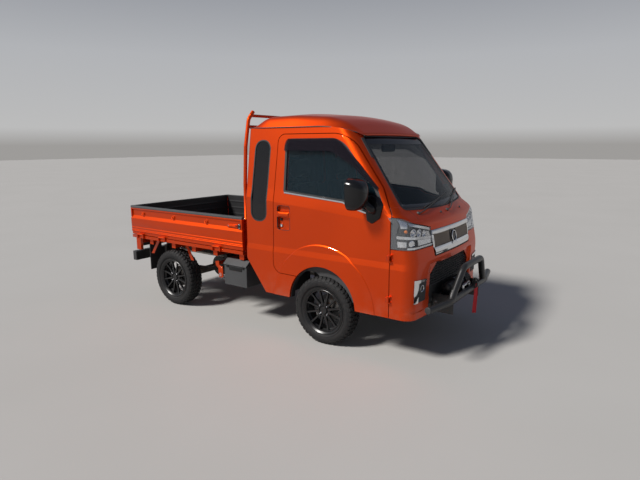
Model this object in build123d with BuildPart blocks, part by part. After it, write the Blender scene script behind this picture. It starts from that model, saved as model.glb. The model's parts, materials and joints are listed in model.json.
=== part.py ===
from build123d import *

import os
from functools import cache
from math import cos, radians, sin

os.makedirs("parts", exist_ok=True)

# Kei pickup truck with a long cab, a drop-side bed, a bull bar and a winch.
# X points forward, Y to the left and Z up. The origin is on the ground under
# the middle of the outer box. Sizes are millimetres. Places along the truck
# are given ahead of the front axle, and at() turns them into X.

# Main sizes
WHEELBASE = 1900
BODY_LENGTH = 3395
BODY_HALF = 737
NOSE_REACH = 850
TRACK = 1310

# Wheels
TYRE_R = 289
TYRE_WIDTH = 165
SEAT_R = 190
FLANGE_R = 203
RIM_HALF = 74
BARREL_WALL = 14
HUB_R = 62
SPOKES = 12
SPOKE_WIDTH = 17
KINGPIN = 545
FIT_GAP = 0.5

# Cab
WALL = 50
PANEL_GAP = 6
DOOR_STEP = 18
DOOR_CLEAR = 8
CAB_REAR = -845
DOOR_FRONT = 620
SILL_Z = 352
SCREEN_BASE_Z = 1150
GUTTER_Z = 1797
HEADER_Z = 1732
ROOF_WALL = 32
GLASS = 6
GLASS_INSET = 9
ARCH_R = 331
ARCH_X = -10
ARCH_Z = 335
LOWER_HALF = 733
UPPER_HALF = 726
FLARE = 5
FLARE_R = 505
FLARE_BEVEL = 16
HANDLE_DEPTH = 24
PANEL_SPLIT_Z = 1195
BUMPER_TOP_Z = 885
GRILLE_BASE_Z = 800
GRILLE_TOP_Z = 1005
GRILLE_HALF = 400
GRILLE_TAPER = 15
LAMP_DEPTH = 48
FOG_DEPTH = 44
FLOOR_SHEET = 24

# Frame and bed
RAIL_Y = 310
RAIL_WIDTH = 55
RAIL_HEIGHT = 90
FRONT_RAIL_Z = 360
REAR_RAIL_Z = 555
BED_FRONT = -880
BED_HALF = 699
BED_FLOOR_Z = 700
BED_SHEET = 45
CROSS_HEIGHT = 55
SILL_RAIL_Z = 660
GATE_BASE_Z = 698
GATE_LEDGE_Z = 872
GATE_TOP_Z = 985
TRIM_TOP_Z = 1010
GATE_WALL = 32
RECESS = 15
GATE_GAP = 5
HINGE_Z = 702
HINGE_OUT = 8
BARREL_R = 9
PIN_R = 5
PIN_CLEAR = 0.1
GUARD_R = 17
GUARD_TOP_Z = 1948

# Bull bar
BAR_R = 27
BAR_Z = 462
HOOP_REACH = 1003
HOOP_Z = 700
HOOP_HALF = 215

# Ends of the outer box ahead of the front axle, which set the origin
TAIL = NOSE_REACH - BODY_LENGTH
BOX_FRONT = HOOP_REACH + BAR_R
BOX_REAR = TAIL - HINGE_OUT - BARREL_R
FRONT_AXLE = -(BOX_FRONT + BOX_REAR) / 2
REAR_AXLE = FRONT_AXLE - WHEELBASE
SIDES = ((1, "left"), (-1, "right"))


def at(reach):
    """X of a point given ahead of the front axle."""
    return FRONT_AXLE + reach


def keep(piece, name):
    """Label a finished piece and write its file."""
    piece.part.label = name
    export_step(piece.part, f"parts/{name}.step")


def rounded(points, radii=None):
    """Closed outline through points; radii gives a corner's radius by its index."""
    with BuildSketch() as sketch:
        with BuildLine():
            Polyline(*points, close=True)
        make_face()
        for index, radius in (radii or {}).items():
            fillet(sketch.vertices().sort_by_distance(points[index])[0], radius)
    return sketch.sketch


def grown(outline, amount):
    """Outline moved outwards by amount, or inwards if it is negative."""
    with BuildSketch() as sketch:
        offset(outline, amount=amount, kind=Kind.INTERSECTION)
    return sketch.sketch


def across(outline, low, high):
    """Outline in X and Z carried along Y from low to high."""
    with BuildPart() as prism:
        with BuildSketch(Plane.XZ.offset(-high)):
            add(outline)
        extrude(amount=high - low)
    return prism.part


def along(outline, low, high):
    """Outline in Y and Z carried along X from low to high."""
    with BuildPart() as prism:
        with BuildSketch(Plane.YZ.offset(low)):
            add(outline)
        extrude(amount=high - low)
    return prism.part


def sided(outline, side, low, high):
    """Outline in X and Z carried from Y = low to high, on the side given."""
    return across(outline, min(side * low, side * high), max(side * low, side * high))


def block(x, y, z):
    """Box between two X, two Y and two Z places, in any order."""
    with BuildPart() as box:
        with Locations(((x[0] + x[1]) / 2, (y[0] + y[1]) / 2, (z[0] + z[1]) / 2)):
            Box(abs(x[1] - x[0]), abs(y[1] - y[0]), abs(z[1] - z[0]))
    return box.part


def bent_bar(points, bend, radius):
    """Round bar along straight runs joined by bends of one radius."""
    with BuildPart() as bar:
        with BuildLine() as path:
            if bend:
                FilletPolyline(*points, radius=bend)
            else:
                Polyline(*points)
        wire = path.wires()[0]
        with BuildSketch(Plane(origin=wire @ 0, z_dir=wire % 0)):
            Circle(radius)
        sweep(path=wire)
    return bar.part


# Cab form by height: z, reach of the nose, bulge of the nose in plan, half
# width, front corner radius
CAB_SECTIONS = (
    (300, 836, 45, LOWER_HALF - 5, 95),
    (735, NOSE_REACH, 48, LOWER_HALF, 100),
    (782, NOSE_REACH, 50, UPPER_HALF, 102),
    (1085, 803, 60, UPPER_HALF, 120),
    (SCREEN_BASE_Z, 715, 71, UPPER_HALF, 112),
    (1850, 160, 12, 632, 105),
)
REAR_CORNER_R = 30


@cache
def cab_form(inset=0):
    """Closed outer form of the cab, drawn in by inset on every side."""
    with BuildPart() as form:
        for z, reach, bulge, half, corner in CAB_SECTIONS:
            front, side, rear = at(reach - inset), half - inset, at(CAB_REAR + inset)
            with BuildSketch(Plane.XY.offset(z)) as section:
                with BuildLine():
                    ThreePointArc((front - bulge, -side), (front, 0), (front - bulge, side))
                    Polyline((front - bulge, side), (rear, side), (rear, -side), (front - bulge, -side))
                make_face()
                fillet(section.vertices().group_by(Axis.X)[-1], max(corner - inset, 10))
                fillet(section.vertices().group_by(Axis.X)[0], max(REAR_CORNER_R - inset, 5))
        loft(ruled=True)
    return form.part


# Roof form by length: x, gutter half width, gutter z, shoulder half width,
# shoulder z, crown z
ROOF_SECTIONS = (
    (-840, 634, GUTTER_Z, 560, 1801, 1809),
    (-700, 640, GUTTER_Z, 575, 1888, 1922),
    (-400, 641, GUTTER_Z, 573, 1893, 1932),
    (-50, 640, GUTTER_Z, 566, 1876, 1902),
    (119, 630, 1778, 550, 1832, 1857),
    (200, 600, 1758, 530, 1780, 1799),
    (264, 545, HEADER_Z, 490, 1737, 1743),
)
ROOF_BASE_Z = 1660


def roof_form(inset=0):
    """Closed form of the roof dome, drawn in by inset at its ends, sides and top."""
    with BuildPart() as form:
        for row in ROOF_SECTIONS:
            x, gutter, gutter_z, shoulder, shoulder_z, crown_z = row
            end = inset if row is ROOF_SECTIONS[0] else -inset if row is ROOF_SECTIONS[-1] else 0
            edge, top = gutter - inset, shoulder - inset
            with BuildSketch(Plane.YZ.offset(at(x + end))):
                with BuildLine():
                    ThreePointArc((-top, shoulder_z - inset), (0, crown_z - inset), (top, shoulder_z - inset))
                    Polyline((top, shoulder_z - inset), (edge, gutter_z - inset), (edge, ROOF_BASE_Z),
                             (-edge, ROOF_BASE_Z), (-edge, gutter_z - inset), (-top, shoulder_z - inset))
                make_face()
        loft(ruled=True)
    return form.part


# Outlines seen from the side
with BuildSketch() as roof_side:
    with BuildLine():
        ThreePointArc((at(270), HEADER_Z), (at(120), 1780), (at(-80), GUTTER_Z))
        Polyline((at(-80), GUTTER_Z), (at(-950), GUTTER_Z), (at(-950), 2100), (at(500), 2100),
                 (at(500), HEADER_Z), (at(270), HEADER_Z))
    make_face()
under_side = rounded([(at(-950), 250), (at(-950), 665), (at(CAB_REAR), 665), (at(-612), SILL_Z),
                      (at(950), SILL_Z), (at(950), 250)])
door_side = rounded(
    [(at(-522), 552), (at(-513), 1200), (at(-503), 1745), (at(201), 1745), (at(520), 1328),
     (at(DOOR_FRONT), 1142), (at(DOOR_FRONT), 290), (at(ARCH_X), 290), (at(ARCH_X), 544)],
    {0: 88, 2: 72, 3: 300, 4: 500},
)
window_side = rounded(
    [(at(-401), 1262), (at(-412), 1698), (at(130), 1698), (at(470), 1335), (at(545), 1195),
     (at(412), 1146), (at(267), 1181), (at(199), 1215)],
    {0: 14, 1: 60, 2: 230, 4: 20},
)
recess_side = rounded([(at(-472), 934), (at(-330), 934), (at(-330), 1146), (at(-472), 1146)],
                      {0: 22, 1: 22, 2: 22, 3: 22})
handle_side = rounded([(at(-480), 1046), (at(-322), 1046), (at(-322), 1094), (at(-480), 1094)])
quarter_side = rounded([(at(-776), 990), (at(-590), 990), (at(-577), 1695), (at(-756), 1695)],
                       {0: 80, 1: 80, 2: 80, 3: 80})

# Outlines seen from the front
with BuildSketch() as screen_front:
    with BuildLine():
        ThreePointArc((-600, 1178), (0, SCREEN_BASE_Z + 6), (600, 1178))
        Polyline((600, 1178), (524, 1713), (-524, 1713), (-600, 1178))
    make_face()
    fillet(screen_front.vertices(), 40)
rear_window_front = rounded([(-500, 1250), (500, 1250), (470, 1640), (-470, 1640)],
                            {0: 50, 1: 50, 2: 50, 3: 50})
nose_front = rounded(
    [(-800, BUMPER_TOP_Z), (-GRILLE_HALF, BUMPER_TOP_Z), (GRILLE_TAPER - GRILLE_HALF, GRILLE_BASE_Z),
     (GRILLE_HALF - GRILLE_TAPER, GRILLE_BASE_Z), (GRILLE_HALF, BUMPER_TOP_Z), (800, BUMPER_TOP_Z),
     (800, PANEL_SPLIT_Z), (-800, PANEL_SPLIT_Z)])
grille_front = rounded(
    [(GRILLE_TAPER - GRILLE_HALF, GRILLE_BASE_Z), (GRILLE_HALF - GRILLE_TAPER, GRILLE_BASE_Z),
     (GRILLE_HALF, BUMPER_TOP_Z), (GRILLE_HALF, GRILLE_TOP_Z), (-GRILLE_HALF, GRILLE_TOP_Z),
     (-GRILLE_HALF, BUMPER_TOP_Z)])
intake_front = rounded([(-300, 745), (300, 745), (440, 640), (480, 250), (-480, 250), (-440, 640)],
                       {0: 40, 1: 40, 2: 40, 5: 40})
LAMP_CORNERS = ((800, BUMPER_TOP_Z), (800, 1134), (690, 1122), (630, 1084), (GRILLE_HALF, 1032),
                (GRILLE_HALF, BUMPER_TOP_Z))
FOG_CORNERS = ((684, 664), (530, 652), (542, 560), (626, 484), (680, 476))


def half_front(corners, side):
    """Front outline of one side from its corners on the left."""
    return rounded([(side * y, z) for y, z in corners])


# Door hinges: two a side, a barrel on the door between ears on the nose
DOOR_HINGE_X = DOOR_FRONT - PANEL_GAP / 2
DOOR_HINGE_Y = BODY_HALF + 9
DOOR_HINGES = (500, 820)
DOOR_BARREL_R = 7
DOOR_PIN_R = 4
DOOR_BARREL_HALF = 18
DOOR_EAR = 9
DOOR_EAR_GAP = 1


def door_ears(side):
    """Ears and pins of one side's door hinges, on the nose."""
    with BuildPart() as ears:
        for z in DOOR_HINGES:
            with Locations((at(DOOR_HINGE_X), side * DOOR_HINGE_Y, z)):
                Cylinder(DOOR_PIN_R, 2 * (DOOR_BARREL_HALF + DOOR_EAR_GAP + DOOR_EAR))
            for end in (-1, 1):
                low, high = z + end * (DOOR_BARREL_HALF + DOOR_EAR_GAP), z + end * (DOOR_BARREL_HALF + DOOR_EAR_GAP + DOOR_EAR)
                add(block((at(DOOR_HINGE_X), at(DOOR_FRONT + 16)), (side * (BODY_HALF - 20), side * (BODY_HALF + 12)), (low, high)))
                with Locations((at(DOOR_HINGE_X), side * DOOR_HINGE_Y, (low + high) / 2)):
                    Cylinder(DOOR_BARREL_R, DOOR_EAR)
        add(block((at(DOOR_HINGE_X - 20), at(DOOR_FRONT)), (side * (BODY_HALF - 20), side * BODY_HALF), (0, 1200)), mode=Mode.SUBTRACT)
    return ears.part


def door_barrels(side):
    """Solid barrels and leaves of one side's door hinges, before the pin bore."""
    with BuildPart() as barrels:
        for z in DOOR_HINGES:
            span = (z - DOOR_BARREL_HALF, z + DOOR_BARREL_HALF)
            add(block((at(DOOR_FRONT - 22), at(DOOR_HINGE_X)), (side * (BODY_HALF - 20), side * (BODY_HALF + 12)), span))
            with Locations((at(DOOR_HINGE_X), side * DOOR_HINGE_Y, z)):
                Cylinder(DOOR_BARREL_R, 2 * DOOR_BARREL_HALF)
    return barrels.part


# Cab wall that the panels are cut from
NOSE_BACK = 560
cab_inner = cab_form(WALL)
with BuildPart() as flare_rings:
    for side, _ in SIDES:
        middle = Plane(origin=(at(ARCH_X), side * (UPPER_HALF - FLARE), ARCH_Z), z_dir=(0, side, 0))
        with BuildSketch(middle):
            Circle(FLARE_R + FLARE_BEVEL)
        with BuildSketch(middle.offset(LOWER_HALF - UPPER_HALF + 3 * FLARE)):
            Circle(FLARE_R - FLARE_BEVEL)
        loft()
    add(cab_form(-FLARE), mode=Mode.INTERSECT)
    add(block((at(-900), at(900)), (-900, 900), (SILL_Z, 1200)), mode=Mode.INTERSECT)
flares = flare_rings.part
with BuildPart() as cab_wall:
    add(cab_form())
    add(cab_inner, mode=Mode.SUBTRACT)
    add(across(roof_side.sketch, -900, 900), mode=Mode.SUBTRACT)
    add(across(under_side, -900, 900), mode=Mode.SUBTRACT)
    add(flares)
    with Locations(Location((at(ARCH_X), 0, ARCH_Z), (90, 0, 0))):
        Cylinder(ARCH_R, 1800, mode=Mode.SUBTRACT)
nose_box = block((at(NOSE_BACK), at(900)), (-900, 900), (200, PANEL_SPLIT_Z))
screen_hole = along(screen_front.sketch, at(100), at(900))
door_holes = [sided(door_side, side, 500, 820) for side, _ in SIDES]
lamp_holes = [along(half_front(LAMP_CORNERS, side), at(DOOR_FRONT), at(900)) for side, _ in SIDES]
fog_holes = [along(half_front(FOG_CORNERS, side), at(DOOR_FRONT), at(900)) for side, _ in SIDES]

with BuildPart() as cab_shell:
    add(cab_wall.part)
    add(nose_box, mode=Mode.SUBTRACT)
    add(screen_hole, mode=Mode.SUBTRACT)
    add(door_holes, mode=Mode.SUBTRACT)
    add(across(quarter_side, -900, 900), mode=Mode.SUBTRACT)
    add(along(rear_window_front, at(-900), at(-700)), mode=Mode.SUBTRACT)
keep(cab_shell, "cab_shell")

with BuildPart() as front_panel:
    add(cab_wall.part)
    add(nose_box, mode=Mode.INTERSECT)
    add(along(nose_front, at(NOSE_BACK), at(900)), mode=Mode.INTERSECT)
    add(screen_hole, mode=Mode.SUBTRACT)
    add(door_holes, mode=Mode.SUBTRACT)
    add(lamp_holes, mode=Mode.SUBTRACT)
    add(along(grille_front, at(NOSE_BACK), at(900)), mode=Mode.SUBTRACT)
keep(front_panel, "front_panel")

with BuildPart() as front_bumper:
    add(cab_wall.part)
    add(nose_box, mode=Mode.INTERSECT)
    add(along(nose_front, at(NOSE_BACK), at(900)), mode=Mode.SUBTRACT)
    add(door_holes, mode=Mode.SUBTRACT)
    add(fog_holes, mode=Mode.SUBTRACT)
    add(along(intake_front, at(NOSE_BACK), at(900)), mode=Mode.SUBTRACT)
    for side, _ in SIDES:
        add(door_ears(side))
keep(front_bumper, "front_bumper")

with BuildPart() as cab_roof:
    add(roof_form())
    add(across(roof_side.sketch, -900, 900), mode=Mode.INTERSECT)
    add(roof_form(ROOF_WALL), mode=Mode.SUBTRACT)
keep(cab_roof, "cab_roof")


def pane(outer_inset, thickness, hole):
    """Glass that follows the cab form inside one opening."""
    with BuildPart() as glass:
        add(cab_form(outer_inset))
        add(cab_form(outer_inset + thickness), mode=Mode.SUBTRACT)
        add(hole, mode=Mode.INTERSECT)
    return glass.part


with BuildPart() as windshield:
    add(pane(4, GLASS, screen_hole))
keep(windshield, "windshield")

with BuildPart() as cab_glass:
    add(pane(4, GLASS, across(quarter_side, 500, 900)))
    add(pane(4, GLASS, across(quarter_side, -900, -500)))
    add(pane(GLASS_INSET, GLASS, along(rear_window_front, at(-900), at(-700))))
keep(cab_glass, "cab_glass")

with BuildPart() as headlamps:
    for hole in lamp_holes:
        add(pane(1, LAMP_DEPTH, hole))
keep(headlamps, "headlamps")

with BuildPart() as fog_lamps:
    for hole in fog_holes:
        add(pane(3, FOG_DEPTH, hole))
keep(fog_lamps, "fog_lamps")

# Grille: a backing, the mesh field and a bright strip above and below it
with BuildPart() as grille:
    field = along(grille_front, at(NOSE_BACK), at(900))
    add(pane(16, 24, field))
    for low, high in ((GRILLE_BASE_Z, 868), (966, GRILLE_TOP_Z)):
        add(pane(1, 20, block((at(700), at(900)), (-GRILLE_HALF, GRILLE_HALF), (low, high)) & field))
    with Locations(Location((at(NOSE_REACH - 14), 0, 905), (0, 90, 0))):
        Cylinder(40, 16)
keep(grille, "grille")

# Floor of the cab: footwell, wheel house and load step, from the side
FLOOR_LINE = ((742, 778), (706, 430), (366, 430), (342, 655), (-400, 655), (-430, 600),
              (CAB_REAR + WALL + 1, 600))
SEAT_Y = (110, 570)
with BuildPart() as cab_floor:
    with BuildSketch(Plane.XZ.offset(-700)):
        with BuildLine() as floor_line:
            Polyline(*[(at(x), z) for x, z in FLOOR_LINE])
        trace(line_width=FLOOR_SHEET)
    extrude(amount=1400)
    add(cab_form(WALL + DOOR_CLEAR), mode=Mode.INTERSECT)
    for side, _ in SIDES:
        add(block((at(-352), at(342)), (side * 338, side * 346), (405, 644)))
        add(block((at(-340), at(80)), (side * 140, side * 540), (660, 705)))
    add(block((at(CAB_REAR + WALL), at(-700)), (-500, 500), (590, 610)))
COLUMN_TILT = 37
WHEEL_CENTRE = (at(230), -340, 985)
WHEEL_R = 178
column_down = Vector(sin(radians(COLUMN_TILT)), 0, -cos(radians(COLUMN_TILT)))
column_plane = Plane(origin=WHEEL_CENTRE, x_dir=(0, 1, 0), z_dir=-column_down)
with BuildPart() as steering_column:
    with BuildSketch(column_plane.offset(-26)):
        Circle(24)
    extrude(amount=-660)
    add(block((at(0), at(800)), (-500, -200), (FLOOR_LINE[1][1] + FLOOR_SHEET / 2, 1200)), mode=Mode.INTERSECT)
keep(cab_floor, "cab_floor")
keep(steering_column, "steering_column")

with BuildPart() as steering_wheel:
    with BuildSketch(Plane(origin=WHEEL_CENTRE, x_dir=column_plane.x_dir, z_dir=column_plane.y_dir)):
        with Locations((WHEEL_R, 0)):
            RegularPolygon(13, 8)
    revolve(axis=Axis(WHEEL_CENTRE, column_plane.z_dir))
    with BuildSketch(column_plane.offset(-25)):
        Circle(42)
    extrude(amount=32)
    with BuildSketch(column_plane.offset(-6)):
        for angle in (0, 180, 270):
            with Locations(Rotation(0, 0, angle) * Location((WHEEL_R / 2, 0, 0))):
                Rectangle(WHEEL_R, 30)
    extrude(amount=10)
keep(steering_wheel, "steering_wheel")

with BuildPart() as dashboard:
    add(across(rounded([(at(480), 1065), (at(600), 1118), (at(668), 1118), (at(745), 1080), (at(790), 790),
                        (at(560), 790), (at(470), 880)]), -700, 700))
    add(cab_form(WALL + DOOR_CLEAR), mode=Mode.INTERSECT)
keep(dashboard, "dashboard")

with BuildPart() as seat_cushions:
    for side, _ in SIDES:
        add(sided(rounded([(at(-345), 705), (at(115), 705), (at(135), 790), (at(90), 812), (at(-345), 790)],
                          {2: 18, 3: 30}), side, *SEAT_Y))
keep(seat_cushions, "seat_cushions")

with BuildPart() as seat_backs:
    for side, _ in SIDES:
        add(sided(rounded([(at(-345), 760), (at(-450), 740), (at(-545), 1330), (at(-440), 1350)],
                          {2: 30, 3: 40}), side, SEAT_Y[0] + 15, SEAT_Y[1] - 15))
        add(sided(rounded([(at(-465), 1352), (at(-530), 1352), (at(-560), 1530), (at(-478), 1540)],
                          {2: 25, 3: 30}), side, 210, 470))
keep(seat_backs, "seat_backs")

# Doors, with their glass and mirrors
for side, name in SIDES:
    with BuildPart() as rebate:
        add(sided(grown(door_side, 2), side, 500, 820))
        add(sided(grown(door_side, -14), side, 500, 820), mode=Mode.SUBTRACT)
        add(cab_form(DOOR_STEP), mode=Mode.INTERSECT)
    with BuildPart() as door:
        add(cab_wall.part)
        add(sided(grown(door_side, -PANEL_GAP), side, 500, 820), mode=Mode.INTERSECT)
        add(sided(window_side, side, 500, 820), mode=Mode.SUBTRACT)
        add(rebate.part, mode=Mode.SUBTRACT)
        add(pane(0, HANDLE_DEPTH, sided(recess_side, side, 500, 820)), mode=Mode.SUBTRACT)
        add(pane(-1, HANDLE_DEPTH - 8, sided(handle_side, side, 500, 820)))
        add(door_barrels(side))
        with Locations(*[(at(DOOR_HINGE_X), side * DOOR_HINGE_Y, z) for z in DOOR_HINGES]):
            Cylinder(DOOR_PIN_R + PIN_CLEAR, 2 * DOOR_BARREL_HALF, mode=Mode.SUBTRACT)
    keep(door, f"door_{name}")
    with BuildPart() as door_glass:
        add(pane(GLASS_INSET, GLASS, sided(window_side, side, 500, 820)))
    keep(door_glass, f"door_glass_{name}")
    with BuildPart() as mirror:
        add(cab_form(-12))
        add(cab_form(), mode=Mode.SUBTRACT)
        add(sided(rounded([(at(418), 1078), (at(466), 1062), (at(534), 1120), (at(548), 1222), (at(510), 1270), (at(430), 1290)],
                          {1: 20, 2: 30, 3: 25}), side, 500, 820), mode=Mode.INTERSECT)
        with BuildPart(mode=Mode.PRIVATE) as head:
            with Locations((at(415), side * 850, 1295)):
                Box(128, 208, 238)
            fillet(head.edges().filter_by(Axis.X), 72)
            fillet(head.faces().sort_by(Axis.X)[-1].edges(), 42)
        add(head.part)
        add(sided(rounded([(at(392), 1190), (at(470), 1110), (at(522), 1130), (at(520), 1190), (at(450), 1262)]),
                  side, BODY_HALF - 4, 790))
        add(cab_form(), mode=Mode.SUBTRACT)
    keep(mirror, f"mirror_{name}")

# Face of the hubs that the wheels bolt to
HUB_SET = 22
HUB_FACE = TRACK / 2 + HUB_SET - FIT_GAP

# Ladder frame with cross members
CAB_PADS = ((480, FRONT_RAIL_Z, FLOOR_LINE[1][1] - FLOOR_SHEET / 2), (-800, 450, FLOOR_LINE[5][1] - FLOOR_SHEET / 2))
RAIL_LINE = ((792, FRONT_RAIL_Z), (-620, FRONT_RAIL_Z), (-900, REAR_RAIL_Z), (TAIL + 60, REAR_RAIL_Z))
with BuildPart() as chassis_frame:
    for side, _ in SIDES:
        with BuildSketch(Plane.XZ.offset(-side * RAIL_Y - RAIL_WIDTH / 2)):
            with BuildLine():
                Polyline(*[(at(x), z) for x, z in RAIL_LINE])
            trace(line_width=RAIL_HEIGHT)
        extrude(amount=RAIL_WIDTH)
    for x, z in ((740, FRONT_RAIL_Z), (-520, FRONT_RAIL_Z - 55), (-1000, REAR_RAIL_Z), (-1620, REAR_RAIL_Z),
                 (-2200, REAR_RAIL_Z), (TAIL + 90, REAR_RAIL_Z)):
        with Locations((at(x), 0, z)):
            Box(50, 2 * RAIL_Y, 60)
    for side, _ in SIDES:
        for x, low, high in CAB_PADS:
            add(block((at(x), at(x + 60)), (side * (RAIL_Y - 25), side * (RAIL_Y + 25)), (low, high)))
keep(chassis_frame, "chassis_frame")

with BuildPart() as engine_block:
    add(block((at(-420), at(60)), (-200, 200), (300, 580)))
keep(engine_block, "engine_block")

# Front cross member, lower arms and struts
ARM_Z = 215
with BuildPart() as front_suspension:
    add(block((at(-70), at(70)), (-330, 330), (200, 270)))
    for side, _ in SIDES:
        add(block((at(-40), at(40)), (side * 285, side * 335), (270, FRONT_RAIL_Z - RAIL_HEIGHT / 2)))
        add(block((at(-30), at(30)), (side * 320, side * (KINGPIN + 25)), (ARM_Z - 15, ARM_Z - 3)))
        with Locations((at(0), side * KINGPIN, 530)):
            Cylinder(22, 226)
    add(block((at(-60), at(60)), (-200, 200), (270, 300)))
keep(front_suspension, "front_suspension")

# Rear axle with its drive shaft and leaf springs
SPRING_Y = 400
SPRING_HALF = 480
with BuildPart() as rear_axle:
    with Locations(Location((REAR_AXLE, 0, TYRE_R), (90, 0, 0))):
        Cylinder(30, 2 * HUB_FACE)
        Cylinder(38, 2 * 600)
        Cylinder(115, 130)
        with Locations((0, 0, -600), (0, 0, 600)):
            Cylinder(105, 60)
    add(bent_bar([(REAR_AXLE + 90, 0, TYRE_R), (at(-434), 0, 390)], 0, 26))
    for side, _ in SIDES:
        with BuildSketch(Plane.XZ.offset(-side * SPRING_Y - 30)):
            with BuildLine() as leaf:
                ThreePointArc((REAR_AXLE - SPRING_HALF, 450), (REAR_AXLE, TYRE_R + 52),
                              (REAR_AXLE + SPRING_HALF, 450))
            trace(line_width=28)
        extrude(amount=60)
        for end in (-SPRING_HALF, SPRING_HALF):
            add(block((REAR_AXLE + end - 20, REAR_AXLE + end + 20),
                      (side * (RAIL_Y + RAIL_WIDTH / 2), side * (SPRING_Y + 30)), (435, 540)))
keep(rear_axle, "rear_axle")

PIPE_Y = -150
PIPE_Z = 440
with BuildPart() as exhaust:
    add(bent_bar([(at(-420), PIPE_Y, PIPE_Z), (at(-1150), PIPE_Y, PIPE_Z)], 0, 22))
    with Locations(Location((at(-1325), PIPE_Y, PIPE_Z), (0, 90, 0))):
        Cylinder(72, 350)
    add(bent_bar([(at(-1500), PIPE_Y, PIPE_Z), (at(-2440), PIPE_Y, PIPE_Z)], 0, 20))
    for x in (-1620, -2200):
        add(block((at(x - 10), at(x + 10)), (PIPE_Y - 8, PIPE_Y + 8), (PIPE_Z + 10, REAR_RAIL_Z - 30)))
keep(exhaust, "exhaust")

with BuildPart() as fuel_tank:
    with Locations((at(-1190), (RAIL_Y + RAIL_WIDTH / 2 + 640) / 2, 450)):
        Box(380, 640 - RAIL_Y - RAIL_WIDTH / 2, 210)
    fillet(fuel_tank.edges().filter_by(Axis.X), 30)
keep(fuel_tank, "fuel_tank")

# Bed floor with its cross members, side sills, stays and corner legs
BED_REAR = TAIL + GATE_WALL + GATE_GAP
GUARD_SHEET = 14
GUARD_X = BED_FRONT - GUARD_SHEET
CROSS_BASE_Z = BED_FLOOR_Z - BED_SHEET - CROSS_HEIGHT
BED_CROSS = (-930, -1280, -1590, -1900, -2262, -2440)
HINGES = {"side": (-2390, -2030, -1217), "tail": (-480, 0, 480)}
HINGE_HALF = 42
EAR = 11
EAR_GAP = 2
EAR_SPAN = HINGE_HALF + EAR_GAP + EAR
EAR_TOP_Z = HINGE_Z + 4
EAR_FACE = 2
with BuildPart() as bed_floor:
    add(block((at(BED_REAR), at(GUARD_X - GUARD_SHEET)), (-BED_HALF, BED_HALF), (BED_FLOOR_Z - BED_SHEET, BED_FLOOR_Z)))
    for x in BED_CROSS:
        add(block((at(x - 28), at(x + 28)), (-BED_HALF, BED_HALF), (CROSS_BASE_Z, BED_FLOOR_Z - BED_SHEET)))
    add(block((at(TAIL + 4), at(BED_REAR)), (-BODY_HALF + 2, BODY_HALF - 2), (SILL_RAIL_Z, GATE_BASE_Z - 6)))
    for side, _ in SIDES:
        add(block((at(BED_REAR), at(BED_FRONT)), (side * BED_HALF, side * (BODY_HALF - 2)),
                  (SILL_RAIL_Z, GATE_BASE_Z - 6)))
        add(block((at(-2480), at(-2408)), (side * (BED_HALF + 5), side * (BODY_HALF - 3)), (530, SILL_RAIL_Z)))
        for top, foot, z in ((-2140, -2250, 510), (-1696, -1616, 512)):
            add(sided(rounded([(at(top), SILL_RAIL_Z), (at(foot), z), (at(foot + 40), z), (at(top + 40), SILL_RAIL_Z)]),
                      side, BED_HALF + 12, BED_HALF + 18))
        for x in HINGES["side"]:
            hinge_y = side * (BODY_HALF + HINGE_OUT)
            with Locations(Location((at(x), hinge_y, HINGE_Z), (0, 90, 0))):
                Cylinder(PIN_R, 2 * EAR_SPAN)
            for end in (-1, 1):
                inner, outer = at(x + end * (EAR_SPAN - EAR)), at(x + end * EAR_SPAN)
                add(block((inner, outer), (side * (BODY_HALF - 4), hinge_y + side * 7), (SILL_RAIL_Z, GATE_BASE_Z - 6)))
                add(block((inner, outer), (side * (BODY_HALF + EAR_FACE), hinge_y + side * 7), (SILL_RAIL_Z, EAR_TOP_Z)))
    for y in HINGES["tail"]:
        hinge_x = at(TAIL - HINGE_OUT)
        with Locations(Location((hinge_x, y, HINGE_Z), (90, 0, 0))):
            Cylinder(PIN_R, 2 * EAR_SPAN)
        for end in (-1, 1):
            inner, outer = y + end * (EAR_SPAN - EAR), y + end * EAR_SPAN
            add(block((hinge_x - 7, at(TAIL + 6)), (inner, outer), (SILL_RAIL_Z, GATE_BASE_Z - 6)))
            add(block((hinge_x - 7, at(TAIL - EAR_FACE)), (inner, outer), (SILL_RAIL_Z, EAR_TOP_Z)))
keep(bed_floor, "bed_floor")

# Front wall of the bed with the guard frame that stands on it
GUARD_LEG = ((660, BED_FLOOR_Z + 30), (660, 1300), (640, 1640), (592, 1880), (530, GUARD_TOP_Z))
with BuildPart() as guard_frame:
    add(block((at(GUARD_X - GUARD_SHEET), at(GUARD_X + GUARD_SHEET)), (-BED_HALF, BED_HALF),
              (BED_FLOOR_Z - BED_SHEET, GATE_TOP_Z)))
    for side, _ in SIDES:
        add(bent_bar([(at(GUARD_X), side * y, z) for y, z in GUARD_LEG], 60, GUARD_R))
    for z, half in ((1912, 575), (1815, 603), (1290, 655)):
        add(bent_bar([(at(GUARD_X), -half, z), (at(GUARD_X), half, z)], 0, GUARD_R - 4))
    for y in (-200, 200):
        add(bent_bar([(at(GUARD_X), y, GATE_TOP_Z), (at(GUARD_X), y, 1290)], 0, GUARD_R - 6))
keep(guard_frame, "guard_frame")

# Gates: outline across the panel, outwards from the bed and up
GATE_SECTION = ((-GATE_WALL, GATE_BASE_Z), (-7, GATE_BASE_Z), (-7, 722), (0, 729), (0, GATE_LEDGE_Z),
                (-RECESS, GATE_LEDGE_Z + 33), (-RECESS, GATE_TOP_Z), (-GATE_WALL, GATE_TOP_Z))
TRIM_SECTION = ((-GATE_WALL, GATE_TOP_Z), (0, GATE_TOP_Z), (0, TRIM_TOP_Z - 6), (-6, TRIM_TOP_Z),
                (-GATE_WALL, TRIM_TOP_Z))


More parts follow.
